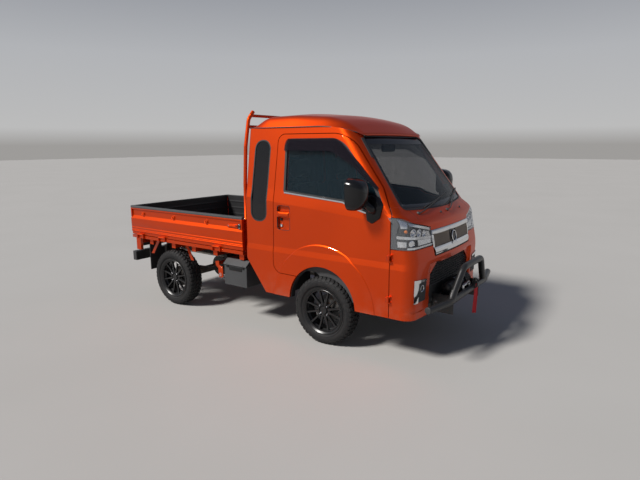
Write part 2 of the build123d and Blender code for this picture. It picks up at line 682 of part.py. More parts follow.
def side_gate_part(section, side):
    """Section of a side gate carried along the bed."""
    outline = rounded([(side * (BODY_HALF + out), z) for out, z in section])
    return along(outline, at(TAIL), at(BED_FRONT))


def tail_gate_part(section):
    """Section of the tail gate carried across the bed."""
    outline = rounded([(at(TAIL - out), z) for out, z in section])
    return across(outline, -BED_HALF, BED_HALF)


for side, name in SIDES:
    with BuildPart() as side_gate:
        add(side_gate_part(GATE_SECTION, side))
        for x in HINGES["side"]:
            add(block((at(x - HINGE_HALF), at(x + HINGE_HALF)),
                      (side * (BODY_HALF - 10), side * (BODY_HALF + HINGE_OUT)), (HINGE_Z, HINGE_Z + BARREL_R)))
            with Locations(Location((at(x), side * (BODY_HALF + HINGE_OUT), HINGE_Z), (0, 90, 0))):
                Cylinder(BARREL_R, 2 * HINGE_HALF)
                Cylinder(PIN_R + PIN_CLEAR, 2 * HINGE_HALF, mode=Mode.SUBTRACT)
    keep(side_gate, f"side_gate_{name}")
    with BuildPart() as side_trim:
        add(side_gate_part(TRIM_SECTION, side))
    keep(side_trim, f"side_gate_trim_{name}")

with BuildPart() as tail_gate:
    add(tail_gate_part(GATE_SECTION))
    for y in HINGES["tail"]:
        add(block((at(TAIL - HINGE_OUT), at(TAIL + 10)), (y - HINGE_HALF, y + HINGE_HALF),
                  (HINGE_Z, HINGE_Z + BARREL_R)))
        with Locations(Location((at(TAIL - HINGE_OUT), y, HINGE_Z), (90, 0, 0))):
            Cylinder(BARREL_R, 2 * HINGE_HALF)
            Cylinder(PIN_R + PIN_CLEAR, 2 * HINGE_HALF, mode=Mode.SUBTRACT)
keep(tail_gate, "tail_gate")
with BuildPart() as tail_trim:
    add(tail_gate_part(TRIM_SECTION))
keep(tail_trim, "tail_gate_trim")

# Under the rear of the bed
BEAM_Z = (402, 503)
with BuildPart() as rear_beam:
    add(block((at(TAIL - 5), at(TAIL + 55)), (-BODY_HALF - 3, BODY_HALF + 3), BEAM_Z))
    for side, _ in SIDES:
        add(block((at(TAIL + 55), at(TAIL + 110)), (side * (RAIL_Y - 20), side * (RAIL_Y + 20)),
                  (BEAM_Z[0], REAR_RAIL_Z - RAIL_HEIGHT / 2)))
keep(rear_beam, "rear_beam")

with BuildPart() as rear_lamps:
    for side, _ in SIDES:
        add(block((at(TAIL + 6), at(TAIL + 50)), (side * 470, side * 690), (545, BED_FLOOR_Z - BED_SHEET)))
keep(rear_lamps, "rear_lamps")

with BuildPart() as mud_flaps:
    for side, _ in SIDES:
        add(block((at(-2287), at(-2281)), (side * 560, side * 712), (322, CROSS_BASE_Z)))
keep(mud_flaps, "mud_flaps")

# Side tool box under the bed
BOX_Y = (440, 727)
with BuildPart() as tool_box:
    add(block((at(-1135), at(-848)), (-BOX_Y[1], -BOX_Y[0]), (345, 552)))
    for x in (-1090, -950):
        add(block((at(x), at(x + 40)), (-BOX_Y[0], -RAIL_Y - RAIL_WIDTH / 2), (505, 545)))
keep(tool_box, "tool_box")
with BuildPart() as tool_box_lid:
    add(along(rounded([(-BOX_Y[0], 553), (-BOX_Y[0], 596), (-BOX_Y[1] + 45, 596), (-BOX_Y[1] - 10, 548),
                       (-BOX_Y[1] - 10, 540), (-BOX_Y[1] - 4, 540), (-BOX_Y[1] - 4, 553)]), at(-1138), at(-845)))
keep(tool_box_lid, "tool_box_lid")

# Bull bar with its brackets and hook
with BuildPart() as bull_bar:
    add(bent_bar([(at(925), -705, BAR_Z), (at(980), -430, BAR_Z), (at(980), 430, BAR_Z), (at(925), 705, BAR_Z)],
                 180, BAR_R))
    add(bent_bar([(at(975), -390, BAR_Z), (at(HOOP_REACH), -HOOP_HALF, HOOP_Z), (at(HOOP_REACH), HOOP_HALF, HOOP_Z),
                  (at(975), 390, BAR_Z)], 90, BAR_R))
    for side, _ in SIDES:
        add(block((at(792), at(970)), (side * 305, side * 315), (330, BAR_Z + 20)))
    add(block((at(980), at(1010)), (85, 115), (BAR_Z + 16, BAR_Z + 78)))
keep(bull_bar, "bull_bar")

# Winch on its plate between the brackets
with BuildPart() as winch:
    add(block((at(800), at(950)), (-305, 305), (430, 440)))
    with Locations(Location((at(875), 0, 505), (90, 0, 0))):
        Cylinder(30, 420)
        with Locations((0, 0, -160), (0, 0, 160)):
            Cylinder(48, 130)
        with Locations((0, 0, -80), (0, 0, 80)):
            Cylinder(62, 10)
    for side, _ in SIDES:
        add(block((at(850), at(900)), (side * 120, side * 200), (440, 470)))
    add(block((at(940), at(950)), (-110, 110), (440, 520)))
keep(winch, "winch")

with BuildPart() as winch_strap:
    add(block((at(1010), at(1016)), (85, 115), (238, BAR_Z + 44)))
keep(winch_strap, "winch_strap")

# Wheels: outlines from the hub outwards, as width and radius
TYRE_SECTION = ((-62, SEAT_R), (-66, FLANGE_R), (-77, 216), (-TYRE_WIDTH / 2, 240), (-76, 272),
                (-55, TYRE_R), (55, TYRE_R), (76, 272), (TYRE_WIDTH / 2, 240), (77, 216),
                (66, FLANGE_R), (62, SEAT_R))
RIM_SECTION = ((-RIM_HALF, SEAT_R - BARREL_WALL), (-RIM_HALF, FLANGE_R), (-66, FLANGE_R), (-62, SEAT_R),
               (62, SEAT_R), (66, FLANGE_R), (RIM_HALF, FLANGE_R), (RIM_HALF, SEAT_R - BARREL_WALL))


def spun(section, x, y):
    """Solid turned about a wheel's axis from its section."""
    with BuildPart() as solid:
        with BuildSketch(Plane(origin=(x, y, TYRE_R), x_dir=(0, 1, 0), z_dir=(-1, 0, 0))):
            with BuildLine():
                Polyline(*section, close=True)
            make_face()
        revolve(axis=Axis((x, y, TYRE_R), (0, 1, 0)))
    return solid.part


for axle, end in ((FRONT_AXLE, "front"), (REAR_AXLE, "rear")):
    for side, name in SIDES:
        centre = side * TRACK / 2
        with BuildPart() as tyre:
            add(spun(TYRE_SECTION, axle, centre))
        keep(tyre, f"tyre_{end}_{name}")
        with BuildPart() as rim:
            add(spun(RIM_SECTION, axle, centre))
            with BuildSketch(Plane(origin=(axle, centre + side * HUB_SET, TYRE_R), x_dir=(1, 0, 0), z_dir=(0, side, 0))):
                Circle(HUB_R)
                with PolarLocations((HUB_R + SEAT_R) / 2 - 10, SPOKES):
                    Rectangle(SEAT_R - HUB_R + 10, SPOKE_WIDTH)
            extrude(amount=36)
        keep(rim, f"rim_{end}_{name}")

# Knuckles that carry the front wheels
for side, name in SIDES:
    with BuildPart() as knuckle:
        add(block((at(-26), at(26)), (side * (KINGPIN - 24), side * (KINGPIN + 24)), (ARM_Z, 416.5)))
        add(block((at(-34), at(34)), (side * (KINGPIN + 24), side * 600), (230, 350)))
        with Locations(Location((FRONT_AXLE, side * (600 + HUB_FACE) / 2, TYRE_R), (90, 0, 0))):
            Cylinder(30, HUB_FACE - 600)
        with Locations(Location((FRONT_AXLE, side * 620, TYRE_R), (90, 0, 0))):
            Cylinder(118, 22)
    keep(knuckle, f"knuckle_{name}")
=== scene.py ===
"""Looks of a kei pickup truck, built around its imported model.

Sizes are millimetres. Places along the truck are given ahead of the front
axle, as in the part's own source, and made() turns them into metres.
"""

import json
from math import cos, pi, radians, sin, tan

import bmesh
import bpy
import numpy as np
from mathutils import Matrix, Vector

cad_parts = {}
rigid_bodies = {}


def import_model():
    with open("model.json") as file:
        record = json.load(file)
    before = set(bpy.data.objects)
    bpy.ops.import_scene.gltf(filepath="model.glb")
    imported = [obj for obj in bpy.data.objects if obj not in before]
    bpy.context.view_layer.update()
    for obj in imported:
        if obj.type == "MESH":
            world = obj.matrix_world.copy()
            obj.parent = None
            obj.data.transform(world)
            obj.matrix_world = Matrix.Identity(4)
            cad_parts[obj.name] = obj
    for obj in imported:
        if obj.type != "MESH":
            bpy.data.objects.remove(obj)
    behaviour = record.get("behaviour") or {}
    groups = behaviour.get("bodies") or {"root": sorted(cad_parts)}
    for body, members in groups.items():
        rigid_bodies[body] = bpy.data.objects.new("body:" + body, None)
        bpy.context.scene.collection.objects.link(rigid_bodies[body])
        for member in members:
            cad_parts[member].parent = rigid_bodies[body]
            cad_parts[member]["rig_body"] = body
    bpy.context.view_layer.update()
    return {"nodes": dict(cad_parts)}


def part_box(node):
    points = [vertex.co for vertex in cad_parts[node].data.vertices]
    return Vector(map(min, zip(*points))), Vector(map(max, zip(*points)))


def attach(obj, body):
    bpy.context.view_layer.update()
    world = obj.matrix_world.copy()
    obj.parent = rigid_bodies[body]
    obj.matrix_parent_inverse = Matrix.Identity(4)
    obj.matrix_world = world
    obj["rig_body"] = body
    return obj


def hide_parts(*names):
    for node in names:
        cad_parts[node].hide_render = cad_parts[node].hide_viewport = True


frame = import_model()
NODES = frame["nodes"]
MM = 0.001
# Keeps the sign of a place in the very middle, and a division by a length of nothing
TINY = 1e-9
X, Y, Z = (1, 0, 0), (0, 1, 0), (0, 0, 1)
SIDES = ((1, "left"), (-1, "right"))

# The front axle's place along the model, and the truck's own sizes from it
tyre_low, tyre_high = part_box("tyre_front_left")
FRONT_AXLE = (tyre_low.x + tyre_high.x) / 2 / MM
WHEELBASE = 1900
AXLE_Z = 289
TRACK_HALF = 655
CAB_REAR = -845
CAB_HALF = 726
BED_FRONT = -880
TAIL = -2545


# Shader graphs


class Wire:
    """A socket of a graph. An expression on wires and numbers adds its Math nodes."""

    def __init__(self, graph, socket):
        self.graph, self.socket = graph, socket

    def __add__(self, other):
        return self.graph.sum("ADD", self, other)

    def __sub__(self, other):
        return self.graph.sum("SUBTRACT", self, other)

    def __rsub__(self, other):
        return self.graph.sum("SUBTRACT", other, self)

    def __mul__(self, other):
        return self.graph.sum("MULTIPLY", self, other)

    def __pow__(self, other):
        return self.graph.sum("POWER", self, other)

    __radd__, __rmul__ = __add__, __mul__


class Finish:
    """A material with the record's slot it belongs to.

    Numbers that are the same all over go straight on its shader.
    """

    def __init__(self, name, slot, **constants):
        self.slot = slot
        self.material = bpy.data.materials.new(name)
        self.material.use_nodes = True
        self.tree = self.material.node_tree
        self.shader = self.tree.nodes["Principled BSDF"]
        for socket, value in constants.items():
            self.shader.inputs[socket.replace("_", " ")].default_value = value
        self.place = self.node("ShaderNodeTexCoord", output="Object")

    def node(self, kind, settings=None, inputs=None, output=0):
        """Adds a node: its settings first, then the values or links of its sockets."""
        node = self.tree.nodes.new(kind)
        for key, value in (settings or {}).items():
            setattr(node, key, value)
        for key, value in (inputs or {}).items():
            if isinstance(value, Wire):
                self.tree.links.new(value.socket, node.inputs[key])
            else:
                node.inputs[key].default_value = value
        return Wire(self, node.outputs[output])

    def sum(self, operation, *values):
        """One Math node on wires or numbers."""
        return self.node("ShaderNodeMath", {"operation": operation}, dict(enumerate(values)))

    def noise(self, scale, detail=3.0, roughness=0.5):
        """Soft random pattern from 0 to 1, scale features to the metre."""
        return self.node("ShaderNodeTexNoise", None,
                         {"Vector": self.place, "Scale": scale, "Detail": detail, "Roughness": roughness})

    def weave(self, scale, direction):
        """Fine ribs across a direction, scale of them to the metre."""
        return self.node("ShaderNodeTexWave", {"bands_direction": direction},
                         {"Vector": self.place, "Scale": scale * pi / 10, "Distortion": 0.4, "Detail": 1.0})

    def height(self, low, high):
        """Mask from 0 at the height low to 1 at high, in metres."""
        z = self.node("ShaderNodeSeparateXYZ", None, {0: self.place}, output="Z")
        return self.ramp(z, low, high)

    def ramp(self, value, low, high):
        """Value stretched so that low becomes 0 and high becomes 1, smoothly."""
        return self.node("ShaderNodeMapRange", {"interpolation_type": "SMOOTHSTEP"},
                         {"Value": value, "From Min": low, "From Max": high})

    def mixed(self, mask, first, second):
        """Colour that goes from first to second with the mask."""
        def full(colour):
            return colour if isinstance(colour, Wire) else (*colour, 1)
        return self.node("ShaderNodeMix", {"data_type": "RGBA"},
                         {0: mask, 6: full(first), 7: full(second)}, output=2)

    def slant(self):
        """How much a clear surface mirrors: little square on, nearly all along it, on both of its faces."""
        return self.node("ShaderNodeLayerWeight", None, {"Blend": 0.5}, output="Facing") ** 5 * 0.96 + 0.04

    def bump(self, *layers):
        """Relief from pairs of a pattern and its depth in metres, on the shader's normal."""
        normal = None
        for pattern, depth in layers:
            inputs = {"Height": pattern, "Distance": depth, "Strength": 1.0}
            if normal:
                inputs["Normal"] = normal
            normal = self.node("ShaderNodeBump", None, inputs)
        return self.feed("Normal", normal)

    def feed(self, socket, wire):
        """Links a wire to one of the shader's own sockets."""
        self.tree.links.new(wire.socket, self.shader.inputs[socket])
        return self

    def covered(self, colour, roughness, *layers):
        """Feeds the shader's colour and roughness, and its relief as in bump()."""
        return self.feed("Base Color", colour).feed("Roughness", roughness).bump(*layers)


DUST = (0.30, 0.235, 0.17)


def orange_paint():
    """Metallic orange under clear coat: fine flake, a slow drift in tone, a little road dust low down."""
    f = Finish("orange_paint", "orange_paint", Metallic=0.85, Specular_IOR_Level=0.15,
               Coat_Weight=0.35, Coat_Roughness=0.03)
    drift, flake = f.noise(1.7, 2.0), f.noise(420.0, 1.0)
    tone = f.mixed(drift * 0.6 + flake * 0.4, (0.50, 0.037, 0.001), (0.70, 0.062, 0.001))
    dust = (1 - f.height(0.28, 0.62)) * f.ramp(f.noise(9.0, 5.0, 0.6), 0.35, 0.8) * 0.28
    return f.covered(f.mixed(dust, tone, DUST), 0.43 + flake * 0.07 + dust * 0.6, (f.noise(160.0, 1.0), 0.00004))


def dark_plastic(name, slot, colour, roughness, grain):
    """Moulded plastic with a fine grain and a faint greying in patches."""
    f = Finish(name, slot)
    age = f.noise(6.0, 4.0, 0.6)
    return f.covered(f.mixed(age, colour, tuple(c * 1.5 + 0.004 for c in colour)),
                     roughness + age * 0.12, (f.noise(900.0, 2.0), grain))


def gloss_black(name, slot):
    """Gloss black lacquer with faint swirls in its coat."""
    f = Finish(name, slot, Specular_IOR_Level=0.15, Coat_Weight=0.4, Coat_Roughness=0.05)
    haze = f.noise(18.0, 4.0, 0.6)
    return f.covered(f.mixed(haze, (0.004, 0.004, 0.0045), (0.010, 0.010, 0.011)),
                     0.16 + haze * 0.10, (f.noise(240.0, 1.0), 0.00003))


def satin_black():
    """Powder-coated steel: satin black, a fine pebble and dust that has settled."""
    f = Finish("satin_black", "black_steel", Metallic=0.25)
    dust = f.ramp(f.noise(11.0, 5.0, 0.6), 0.5, 0.85)
    return f.covered(f.mixed(dust * 0.12, (0.020, 0.020, 0.021), DUST),
                     0.34 + dust * 0.25, (f.noise(1400.0, 2.0), 0.00006))


def frame_black():
    """Painted chassis steel under road dust, thicker lower down."""
    f = Finish("frame_black", "black_steel", Metallic=0.1)
    dust = f.ramp(f.noise(7.0, 6.0, 0.65), 0.38, 0.8) * (1 - f.height(0.2, 0.8))
    return f.covered(f.mixed(dust * 0.6, (0.022, 0.022, 0.023), DUST),
                     0.48 + dust * 0.4, (f.noise(90.0, 4.0, 0.6), 0.0003))


def metal(name, slot, colour, roughness, relief=0.00002):
    """Bare or plated metal with a slow change of polish."""
    f = Finish(name, slot, Metallic=1.0)
    wear = f.noise(23.0, 4.0, 0.6)
    return f.covered(f.mixed(wear, colour, tuple(c * 0.82 for c in colour)),
                     roughness + wear * 0.10, (f.noise(300.0, 3.0), relief))


def cast_iron():
    """Rough cast metal with rust in its hollows and dust on it."""
    f = Finish("cast_iron", "cast_iron", Metallic=0.6)
    rust = f.ramp(f.noise(26.0, 6.0, 0.7), 0.48, 0.75)
    return f.covered(f.mixed(rust * 0.7, (0.10, 0.10, 0.10), (0.14, 0.065, 0.03)),
                     0.55 + rust * 0.35, (f.noise(380.0, 4.0, 0.6), 0.0003))


def exhaust_metal():
    """Dull aluminised sheet, browned in patches."""
    f = Finish("exhaust_metal", "bare_steel", Metallic=0.85)
    stain = f.ramp(f.noise(8.0, 6.0, 0.65), 0.4, 0.8)
    return f.covered(f.mixed(stain, (0.36, 0.35, 0.33), (0.16, 0.11, 0.075)),
                     0.38 + stain * 0.35, (f.noise(120.0, 4.0, 0.6), 0.0002))


def tyre_rubber():
    """Tyre rubber, greyer where dust sits in its grain."""
    f = Finish("tyre_rubber", "tyre", Specular_IOR_Level=0.3)
    dust = f.ramp(f.noise(34.0, 6.0, 0.65), 0.35, 0.85)
    return f.covered(f.mixed(dust * 0.4, (0.009, 0.009, 0.010), (0.050, 0.046, 0.042)),
                     0.62 + dust * 0.28, (f.noise(520.0, 3.0), 0.00025))


def seal_rubber():
    """Black weather-seal rubber."""
    f = Finish("seal_rubber", "rubber")
    age = f.noise(40.0, 4.0)
    return f.covered(f.mixed(age, (0.010, 0.010, 0.011), (0.026, 0.026, 0.027)),
                     0.48 + age * 0.2, (f.noise(700.0, 2.0), 0.00008))


def clear_glass(name, slot, tint, veil):
    """Tinted glass that mirrors more at a slant. Its veil is how much it hides when looked through square on."""
    f = Finish(name, slot, Roughness=0.02, IOR=1.5)
    smear = f.noise(5.0, 5.0, 0.6)
    f.feed("Base Color", f.mixed(smear, tint, tuple(c * 1.3 + 0.002 for c in tint)))
    return f.feed("Alpha", veil + smear * 0.02 + f.slant() * (1 - veil))


def lens(name, slot, colour, veil):
    """Moulded lamp lens with fine flutes in it."""
    f = Finish(name, slot, Roughness=0.06, IOR=1.49, Coat_Weight=0.6)
    haze = f.noise(30.0, 3.0)
    f.feed("Base Color", f.mixed(haze, colour, tuple(c * 0.75 for c in colour)))
    f.feed("Alpha", veil + haze * 0.03 + f.slant() * (1 - veil))
    return f.bump((f.weave(110.0, "Y"), 0.0003))


def seat_cloth():
    """Dark woven seat cloth: two sets of ribs over each other and a soft nap."""
    f = Finish("seat_cloth", "seat_fabric", Sheen_Weight=0.35, Sheen_Roughness=0.5)
    warp, weft, nap = f.weave(420.0, "X"), f.weave(420.0, "Y"), f.noise(60.0, 4.0)
    return f.covered(f.mixed(warp * weft * 0.7 + nap * 0.3, (0.020, 0.021, 0.024), (0.075, 0.077, 0.084)),
                     0.82 + nap * 0.12, (warp * weft, 0.0006), (nap, 0.0005))


def floor_mat():
    """Ribbed rubber mat, dusty between its ribs."""
    f = Finish("floor_mat", "floor_lining")
    ribs, dust = f.weave(90.0, "Y"), f.noise(13.0, 5.0, 0.6)
    return f.covered(f.mixed(dust * 0.5, (0.014, 0.014, 0.0145), (0.055, 0.048, 0.040)),
                     0.72 + dust * 0.2, (ribs, 0.0008), (f.noise(500.0), 0.0001))


def strap_web():
    """Red webbing: a herringbone of fine ribs, darker where it is handled."""
    f = Finish("strap_web", "webbing", Sheen_Weight=0.2)
    ribs, wear = f.weave(330.0, "Z"), f.noise(22.0, 4.0)
    return f.covered(f.mixed(wear, (0.40, 0.006, 0.012), (0.62, 0.02, 0.03)), 0.74 + wear * 0.16, (ribs, 0.0006))


PAINT = orange_paint()
BLACK = gloss_black("gloss_black", "black_plastic")
RIM = dark_plastic("rim_lacquer", "alloy", (0.004, 0.004, 0.0045), 0.26, 0.00004)
TRIM = dark_plastic("trim_plastic", "black_plastic", (0.020, 0.020, 0.021), 0.52, 0.00025)
CABIN = dark_plastic("cabin_plastic", "black_plastic", (0.035, 0.035, 0.037), 0.58, 0.0003)
LINING = dark_plastic("headlining", "floor_lining", (0.30, 0.29, 0.27), 0.85, 0.0004)
BOX = dark_plastic("box_plastic", "black_plastic", (0.030, 0.031, 0.033), 0.42, 0.00015)
STEEL = satin_black()
FRAME = frame_black()
CHROME = metal("chrome", "black_plastic", (0.80, 0.81, 0.83), 0.05)
BRIGHT = metal("plated_steel", "bare_steel", (0.62, 0.62, 0.63), 0.22, 0.00005)
BRONZE = dark_plastic("grille_bronze", "black_plastic", (0.26, 0.215, 0.17), 0.36, 0.00005)
REFLECTOR = metal("reflector", "lamp_lens", (0.86, 0.87, 0.89), 0.06)
BEZEL = dark_plastic("lamp_bezel", "lamp_lens", (0.034, 0.036, 0.040), 0.30, 0.00008)
IRON = cast_iron()
NUT = metal("dark_nuts", "bare_steel", (0.13, 0.13, 0.14), 0.32, 0.00005)
EXHAUST = exhaust_metal()
TYRE = tyre_rubber()
SEAL = seal_rubber()
CLOTH = seat_cloth()
MAT = floor_mat()
WEB = strap_web()
SCREEN = clear_glass("screen_glass", "glass", (0.005, 0.011, 0.015), 0.24)
DOOR_GLASS = clear_glass("door_glass", "glass", (0.005, 0.015, 0.022), 0.38)
PRIVACY = clear_glass("privacy_glass", "glass", (0.003, 0.003, 0.004), 0.93)
SMOKE = clear_glass("smoked_visor", "black_plastic", (0.010, 0.007, 0.010), 0.50)
CLEAR = clear_glass("lamp_cover", "lamp_lens", (0.50, 0.53, 0.56), 0.015)
AMBER = lens("amber_lens", "lamp_lens", (0.75, 0.20, 0.02), 0.85)
RED = lens("red_lens", "rear_lens", (0.50, 0.010, 0.008), 0.93)
AMBER_REAR = lens("rear_amber_lens", "rear_lens", (0.72, 0.18, 0.02), 0.92)
# Near-black rubber liner of the bed; its colour also stands in for painted shade inside the bed
LINER_AND_SHADE = dark_plastic("bed_liner_and_painted_shade", "floor_lining", (0.012, 0.012, 0.013), 0.40, 0.0003)
CAP = dark_plastic("cap_rubber", "rubber", (0.040, 0.041, 0.043), 0.50, 0.0002)
PLATE = dark_plastic("plate_white", "black_plastic", (0.70, 0.70, 0.69), 0.45, 0.00005)
ROPE = dark_plastic("rope_fibre", "webbing", (0.10, 0.10, 0.11), 0.75, 0.0008)


# Solids are pairs of points and faces, worked out as whole arrays


def quads(rows, columns, round_rows=False, round_columns=False):
    """Four-cornered faces between the neighbours of a grid, closed round in a direction where asked."""
    r = np.arange(rows if round_rows else rows - 1)[:, None]
    c = np.arange(columns if round_columns else columns - 1)[None, :]
    r2, c2 = (r + 1) % rows, (c + 1) % columns
    corners = np.broadcast_arrays(r * columns + c, r * columns + c2, r2 * columns + c2, r2 * columns + c)
    return np.stack(corners, -1).reshape(-1, 4)


def joined(*solids):
    """One solid from several."""
    points, faces, start = [], [], 0
    for some, groups in solids:
        some = np.asarray(some, float).reshape(-1, 3)
        points.append(some)
        faces += [np.asarray(group) + start for group in groups]
        start += len(some)
    return np.concatenate(points), faces


def moved(solid, offset, flip):
    """The solid with each direction multiplied by flip and then moved by offset."""
    points, faces = solid
    return np.asarray(points, float).reshape(-1, 3) * flip + offset, faces


def both(make):
    """A solid made for each side by make(side)."""
    return joined(*(make(side) for side, _ in SIDES))


def point(*numbers):
    """Points from their two or three numbers, each a number or an array."""
    return np.stack(np.broadcast_arrays(*numbers), -1)


def about(middle, half):
    """Two places, half a width either side of a middle."""
    return middle - half, middle + half


def rings(points):
    """Solid through rings of points, a row for each ring, with flat ends."""
    points = np.asarray(points, float)
    rows, columns = points.shape[:2]
    ends = [np.arange(columns)[None, ::-1], np.arange(columns)[None, :] + (rows - 1) * columns]
    return points.reshape(-1, 3), [quads(rows, columns, round_columns=True), *ends]


def shell(outer, inner):
    """Closed solid between two grids of one size: both faces and the rim between them."""
    rows, columns = outer.shape[:2]
    count = rows * columns
    index = np.arange(count).reshape(rows, columns)
    edge = np.concatenate([index[0, :-1], index[:-1, -1], index[-1, :0:-1], index[:0:-1, 0]])
    ahead = np.roll(edge, -1)
    rim = np.stack([edge, ahead, ahead + count, edge + count], -1)
    face = quads(rows, columns)
    return np.concatenate([outer.reshape(-1, 3), inner.reshape(-1, 3)]), [face, face[:, ::-1] + count, rim]


def rounded(corners, radius, steps=5):
    """Outline or path through corners, each rounded by its radius; a path keeps its two ends."""
    corners = np.asarray(corners, float)
    count, whole = len(corners), not isinstance(radius, dict) or not radius.get("path")
    radii = radius if isinstance(radius, dict) else dict.fromkeys(range(count), radius)
    line = []
    for i, corner in enumerate(corners):
        r = radii.get(i, radii.get("all", 0))
        if not r or (not whole and i in (0, count - 1)):
            line.append(corner)
            continue
        back, on = corners[i - 1] - corner, corners[(i + 1) % count] - corner
        back, on = back / np.linalg.norm(back), on / np.linalg.norm(on)
        half_angle = np.arccos(np.clip(back @ on, -1, 1)) / 2
        middle = corner + (back + on) / np.linalg.norm(back + on) * r / sin(half_angle)
        first = corner + back * r / tan(half_angle) - middle
        last = corner + on * r / tan(half_angle) - middle
        sweep = pi - 2 * half_angle
        t = np.linspace(0, 1, steps + 1)[:, None]
        line += list(middle + (first * np.sin((1 - t) * sweep) + last * np.sin(t * sweep)) / sin(sweep))
    return np.array(line)


def path(points, radius, steps=6):
    """Line through points with its corners rounded and its ends kept."""
    return rounded(points, {"path": True, "all": radius}, steps)


def oblong(across, up, radius, steps=5):
    """Outline of a rounded rectangle between two places across and two places up."""
    (left, right), (low, high) = across, up
    return rounded([(left, low), (right, low), (right, high), (left, high)], radius, steps)


# Which of X, Y and Z an outline's two numbers and its depth run along
AXES = {"xz": (0, 2, 1), "yz": (1, 2, 0), "xy": (0, 1, 2)}


def inward(outline):
    """For each point of an outline, the step that moves the outline inwards by one."""
    following = np.roll(outline, -1, 0)
    ahead = following - outline
    turn = np.sign(np.sum(outline[:, 0] * following[:, 1] - following[:, 0] * outline[:, 1]))
    normal = point(-ahead[:, 1], ahead[:, 0]) * turn / np.linalg.norm(ahead, axis=1, keepdims=True)
    before = np.roll(normal, 1, 0)
    return (normal + before) / np.maximum(1 + np.sum(normal * before, 1, keepdims=True), 0.3)


def plate(outline, low, high, plane="xz", edge=2.0):
    """Flat solid: an outline in two directions, from low to high in the third, with its edges rounded over."""
    outline = np.asarray(outline, float)
    low, high = min(low, high), max(low, high)
    step = inward(outline)
    turn = np.array([0, 0.25, 0.6, 1]) * pi / 2
    inset, lift = edge * (1 - np.sin(turn)), edge * (1 - np.cos(turn))
    levels = np.concatenate([low + lift, (high - lift)[::-1]])
    insets = np.concatenate([inset, inset[::-1]])
    flat = outline[None] + step[None] * insets[:, None, None]
    points = np.empty((len(levels), len(outline), 3))
    first, second, third = AXES[plane]
    points[..., first], points[..., second] = flat[..., 0], flat[..., 1]
    points[..., third] = levels[:, None]
    return rings(points)


def brick(x, y, z, edge=3.0):
    """Block between two X, two Y and two Z places, with soft edges."""
    return plate(oblong(x, y, edge, 2), *z, "xy", edge)


def swept(line, section, up=Z, closed=False):
    """Section, as steps sideways and upwards, carried along a line. The section may change along it."""
    line, up = np.asarray(line, float), np.asarray(up, float)
    if closed:
        along = np.roll(line, -1, 0) - np.roll(line, 1, 0)
    else:
        along = np.gradient(line, axis=0)
    along /= np.linalg.norm(along, axis=1, keepdims=True)
    across = np.cross(along, up)
    across /= np.linalg.norm(across, axis=1, keepdims=True)
    over = np.cross(across, along)
    section = np.broadcast_to(np.asarray(section, float), (len(line), *np.shape(section)[-2:]))
    points = line[:, None] + section[..., :1] * across[:, None] + section[..., 1:] * over[:, None]
    if closed:
        return points.reshape(-1, 3), [quads(*points.shape[:2], True, True)]
    return rings(points)


def circle(radius, sides=12, squash=1.0):
    """Round section, or an oval one."""
    turn = np.arange(sides) * 2 * pi / sides
    return point(radius * np.cos(turn), radius * squash * np.sin(turn))


def tube(line, radius, sides=12, up=Z, closed=False):
    """Round bar along a line."""
    return swept(line, circle(radius, sides), up, closed)


def lathe(profile, centre, axis=Y, steps=32, ring=False):
    """Solid turned about an axis through centre: its profile is places along the axis and radii.

    A ring's profile closes on itself, and any other starts and ends on a flat face.
    """
    profile, axis = np.asarray(profile, float), np.asarray(axis, float) / np.linalg.norm(axis)
    across = np.cross(axis, (0.31, 0.17, 0.93) if abs(axis[2]) < 0.9 else X)
    across /= np.linalg.norm(across)
    over = np.cross(axis, across)
    turn = np.arange(steps) * 2 * pi / steps
    spoke = np.cos(turn)[:, None] * across + np.sin(turn)[:, None] * over
    points = np.asarray(centre, float) + profile[:, None, :1] * axis + profile[:, None, 1:] * spoke[None]
    if ring:
        return points.reshape(-1, 3), [quads(len(profile), steps, True, True)]
    return rings(points)


def bolt(centre, axis, radius, height):
    """Six-sided bolt head with a washer under it."""
    washer = lathe([(0, radius * 1.45), (1.2, radius * 1.45), (1.2, radius)], centre, axis, 12)
    head = lathe([(1, radius), (height, radius), (height + 0.8, radius * 0.85)], centre, axis, 6)
    return joined(washer, head)


# Pieces


def mesh_of(name, solid):
    """Mesh of a solid, in metres and in the model's own frame."""
    points, faces = solid
    places = (np.asarray(points, float).reshape(-1, 3) + (FRONT_AXLE, 0, 0)) * MM
    mesh = bpy.data.meshes.new(name)
    mesh.from_pydata(places.tolist(), [], [face for group in faces for face in np.asarray(group).tolist()])
    return mesh


def poured(work, mesh):
    """The mesh, filled from a working copy that isn't needed any more."""
    work.to_mesh(mesh)
    work.free()
    return mesh


def placed(name, data):
    """New object in the scene."""
    thing = bpy.data.objects.new(name, data)
    bpy.context.scene.collection.objects.link(thing)
    return thing


def made(name, solid, finish, body="root", smooth=32, replaces=()):
    """Makes a piece from a solid and lets it ride on a body.

    Its faces are turned outwards and shade smoothly up to an angle in degrees.
    """
    mesh = mesh_of(name, solid)
    work = bmesh.new()
    work.from_mesh(mesh)
    bmesh.ops.remove_doubles(work, verts=work.verts, dist=WELD / 2)
    bmesh.ops.recalc_face_normals(work, faces=work.faces)
    return dressed(name, poured(work, mesh), finish, body, smooth, replaces)


def dressed(name, mesh, finish, body, smooth, replaces=()):
    """Gives a mesh its object, finish and body."""
    mesh.materials.clear()
    mesh.materials.append(finish.material)
    mesh.shade_smooth()
    mesh.set_sharp_from_angle(angle=radians(smooth))
    thing = placed(name, mesh)
    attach(thing, body)
    if replaces:
        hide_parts(*replaces)
    return thing


def fitted(node, parts):
    """Pieces that ride on a node of each side, from their name, how they are made, finish and smooth up to."""
    for side, name in SIDES:
        for piece, make, finish, smooth in parts:
            made(f"{node}_{name}_{piece}", make(side), finish, rides_with(f"{node}_{name}"), smooth)


# Points closer than this, in metres, are one in a panel; half as far in a piece made here
WELD = 0.00002
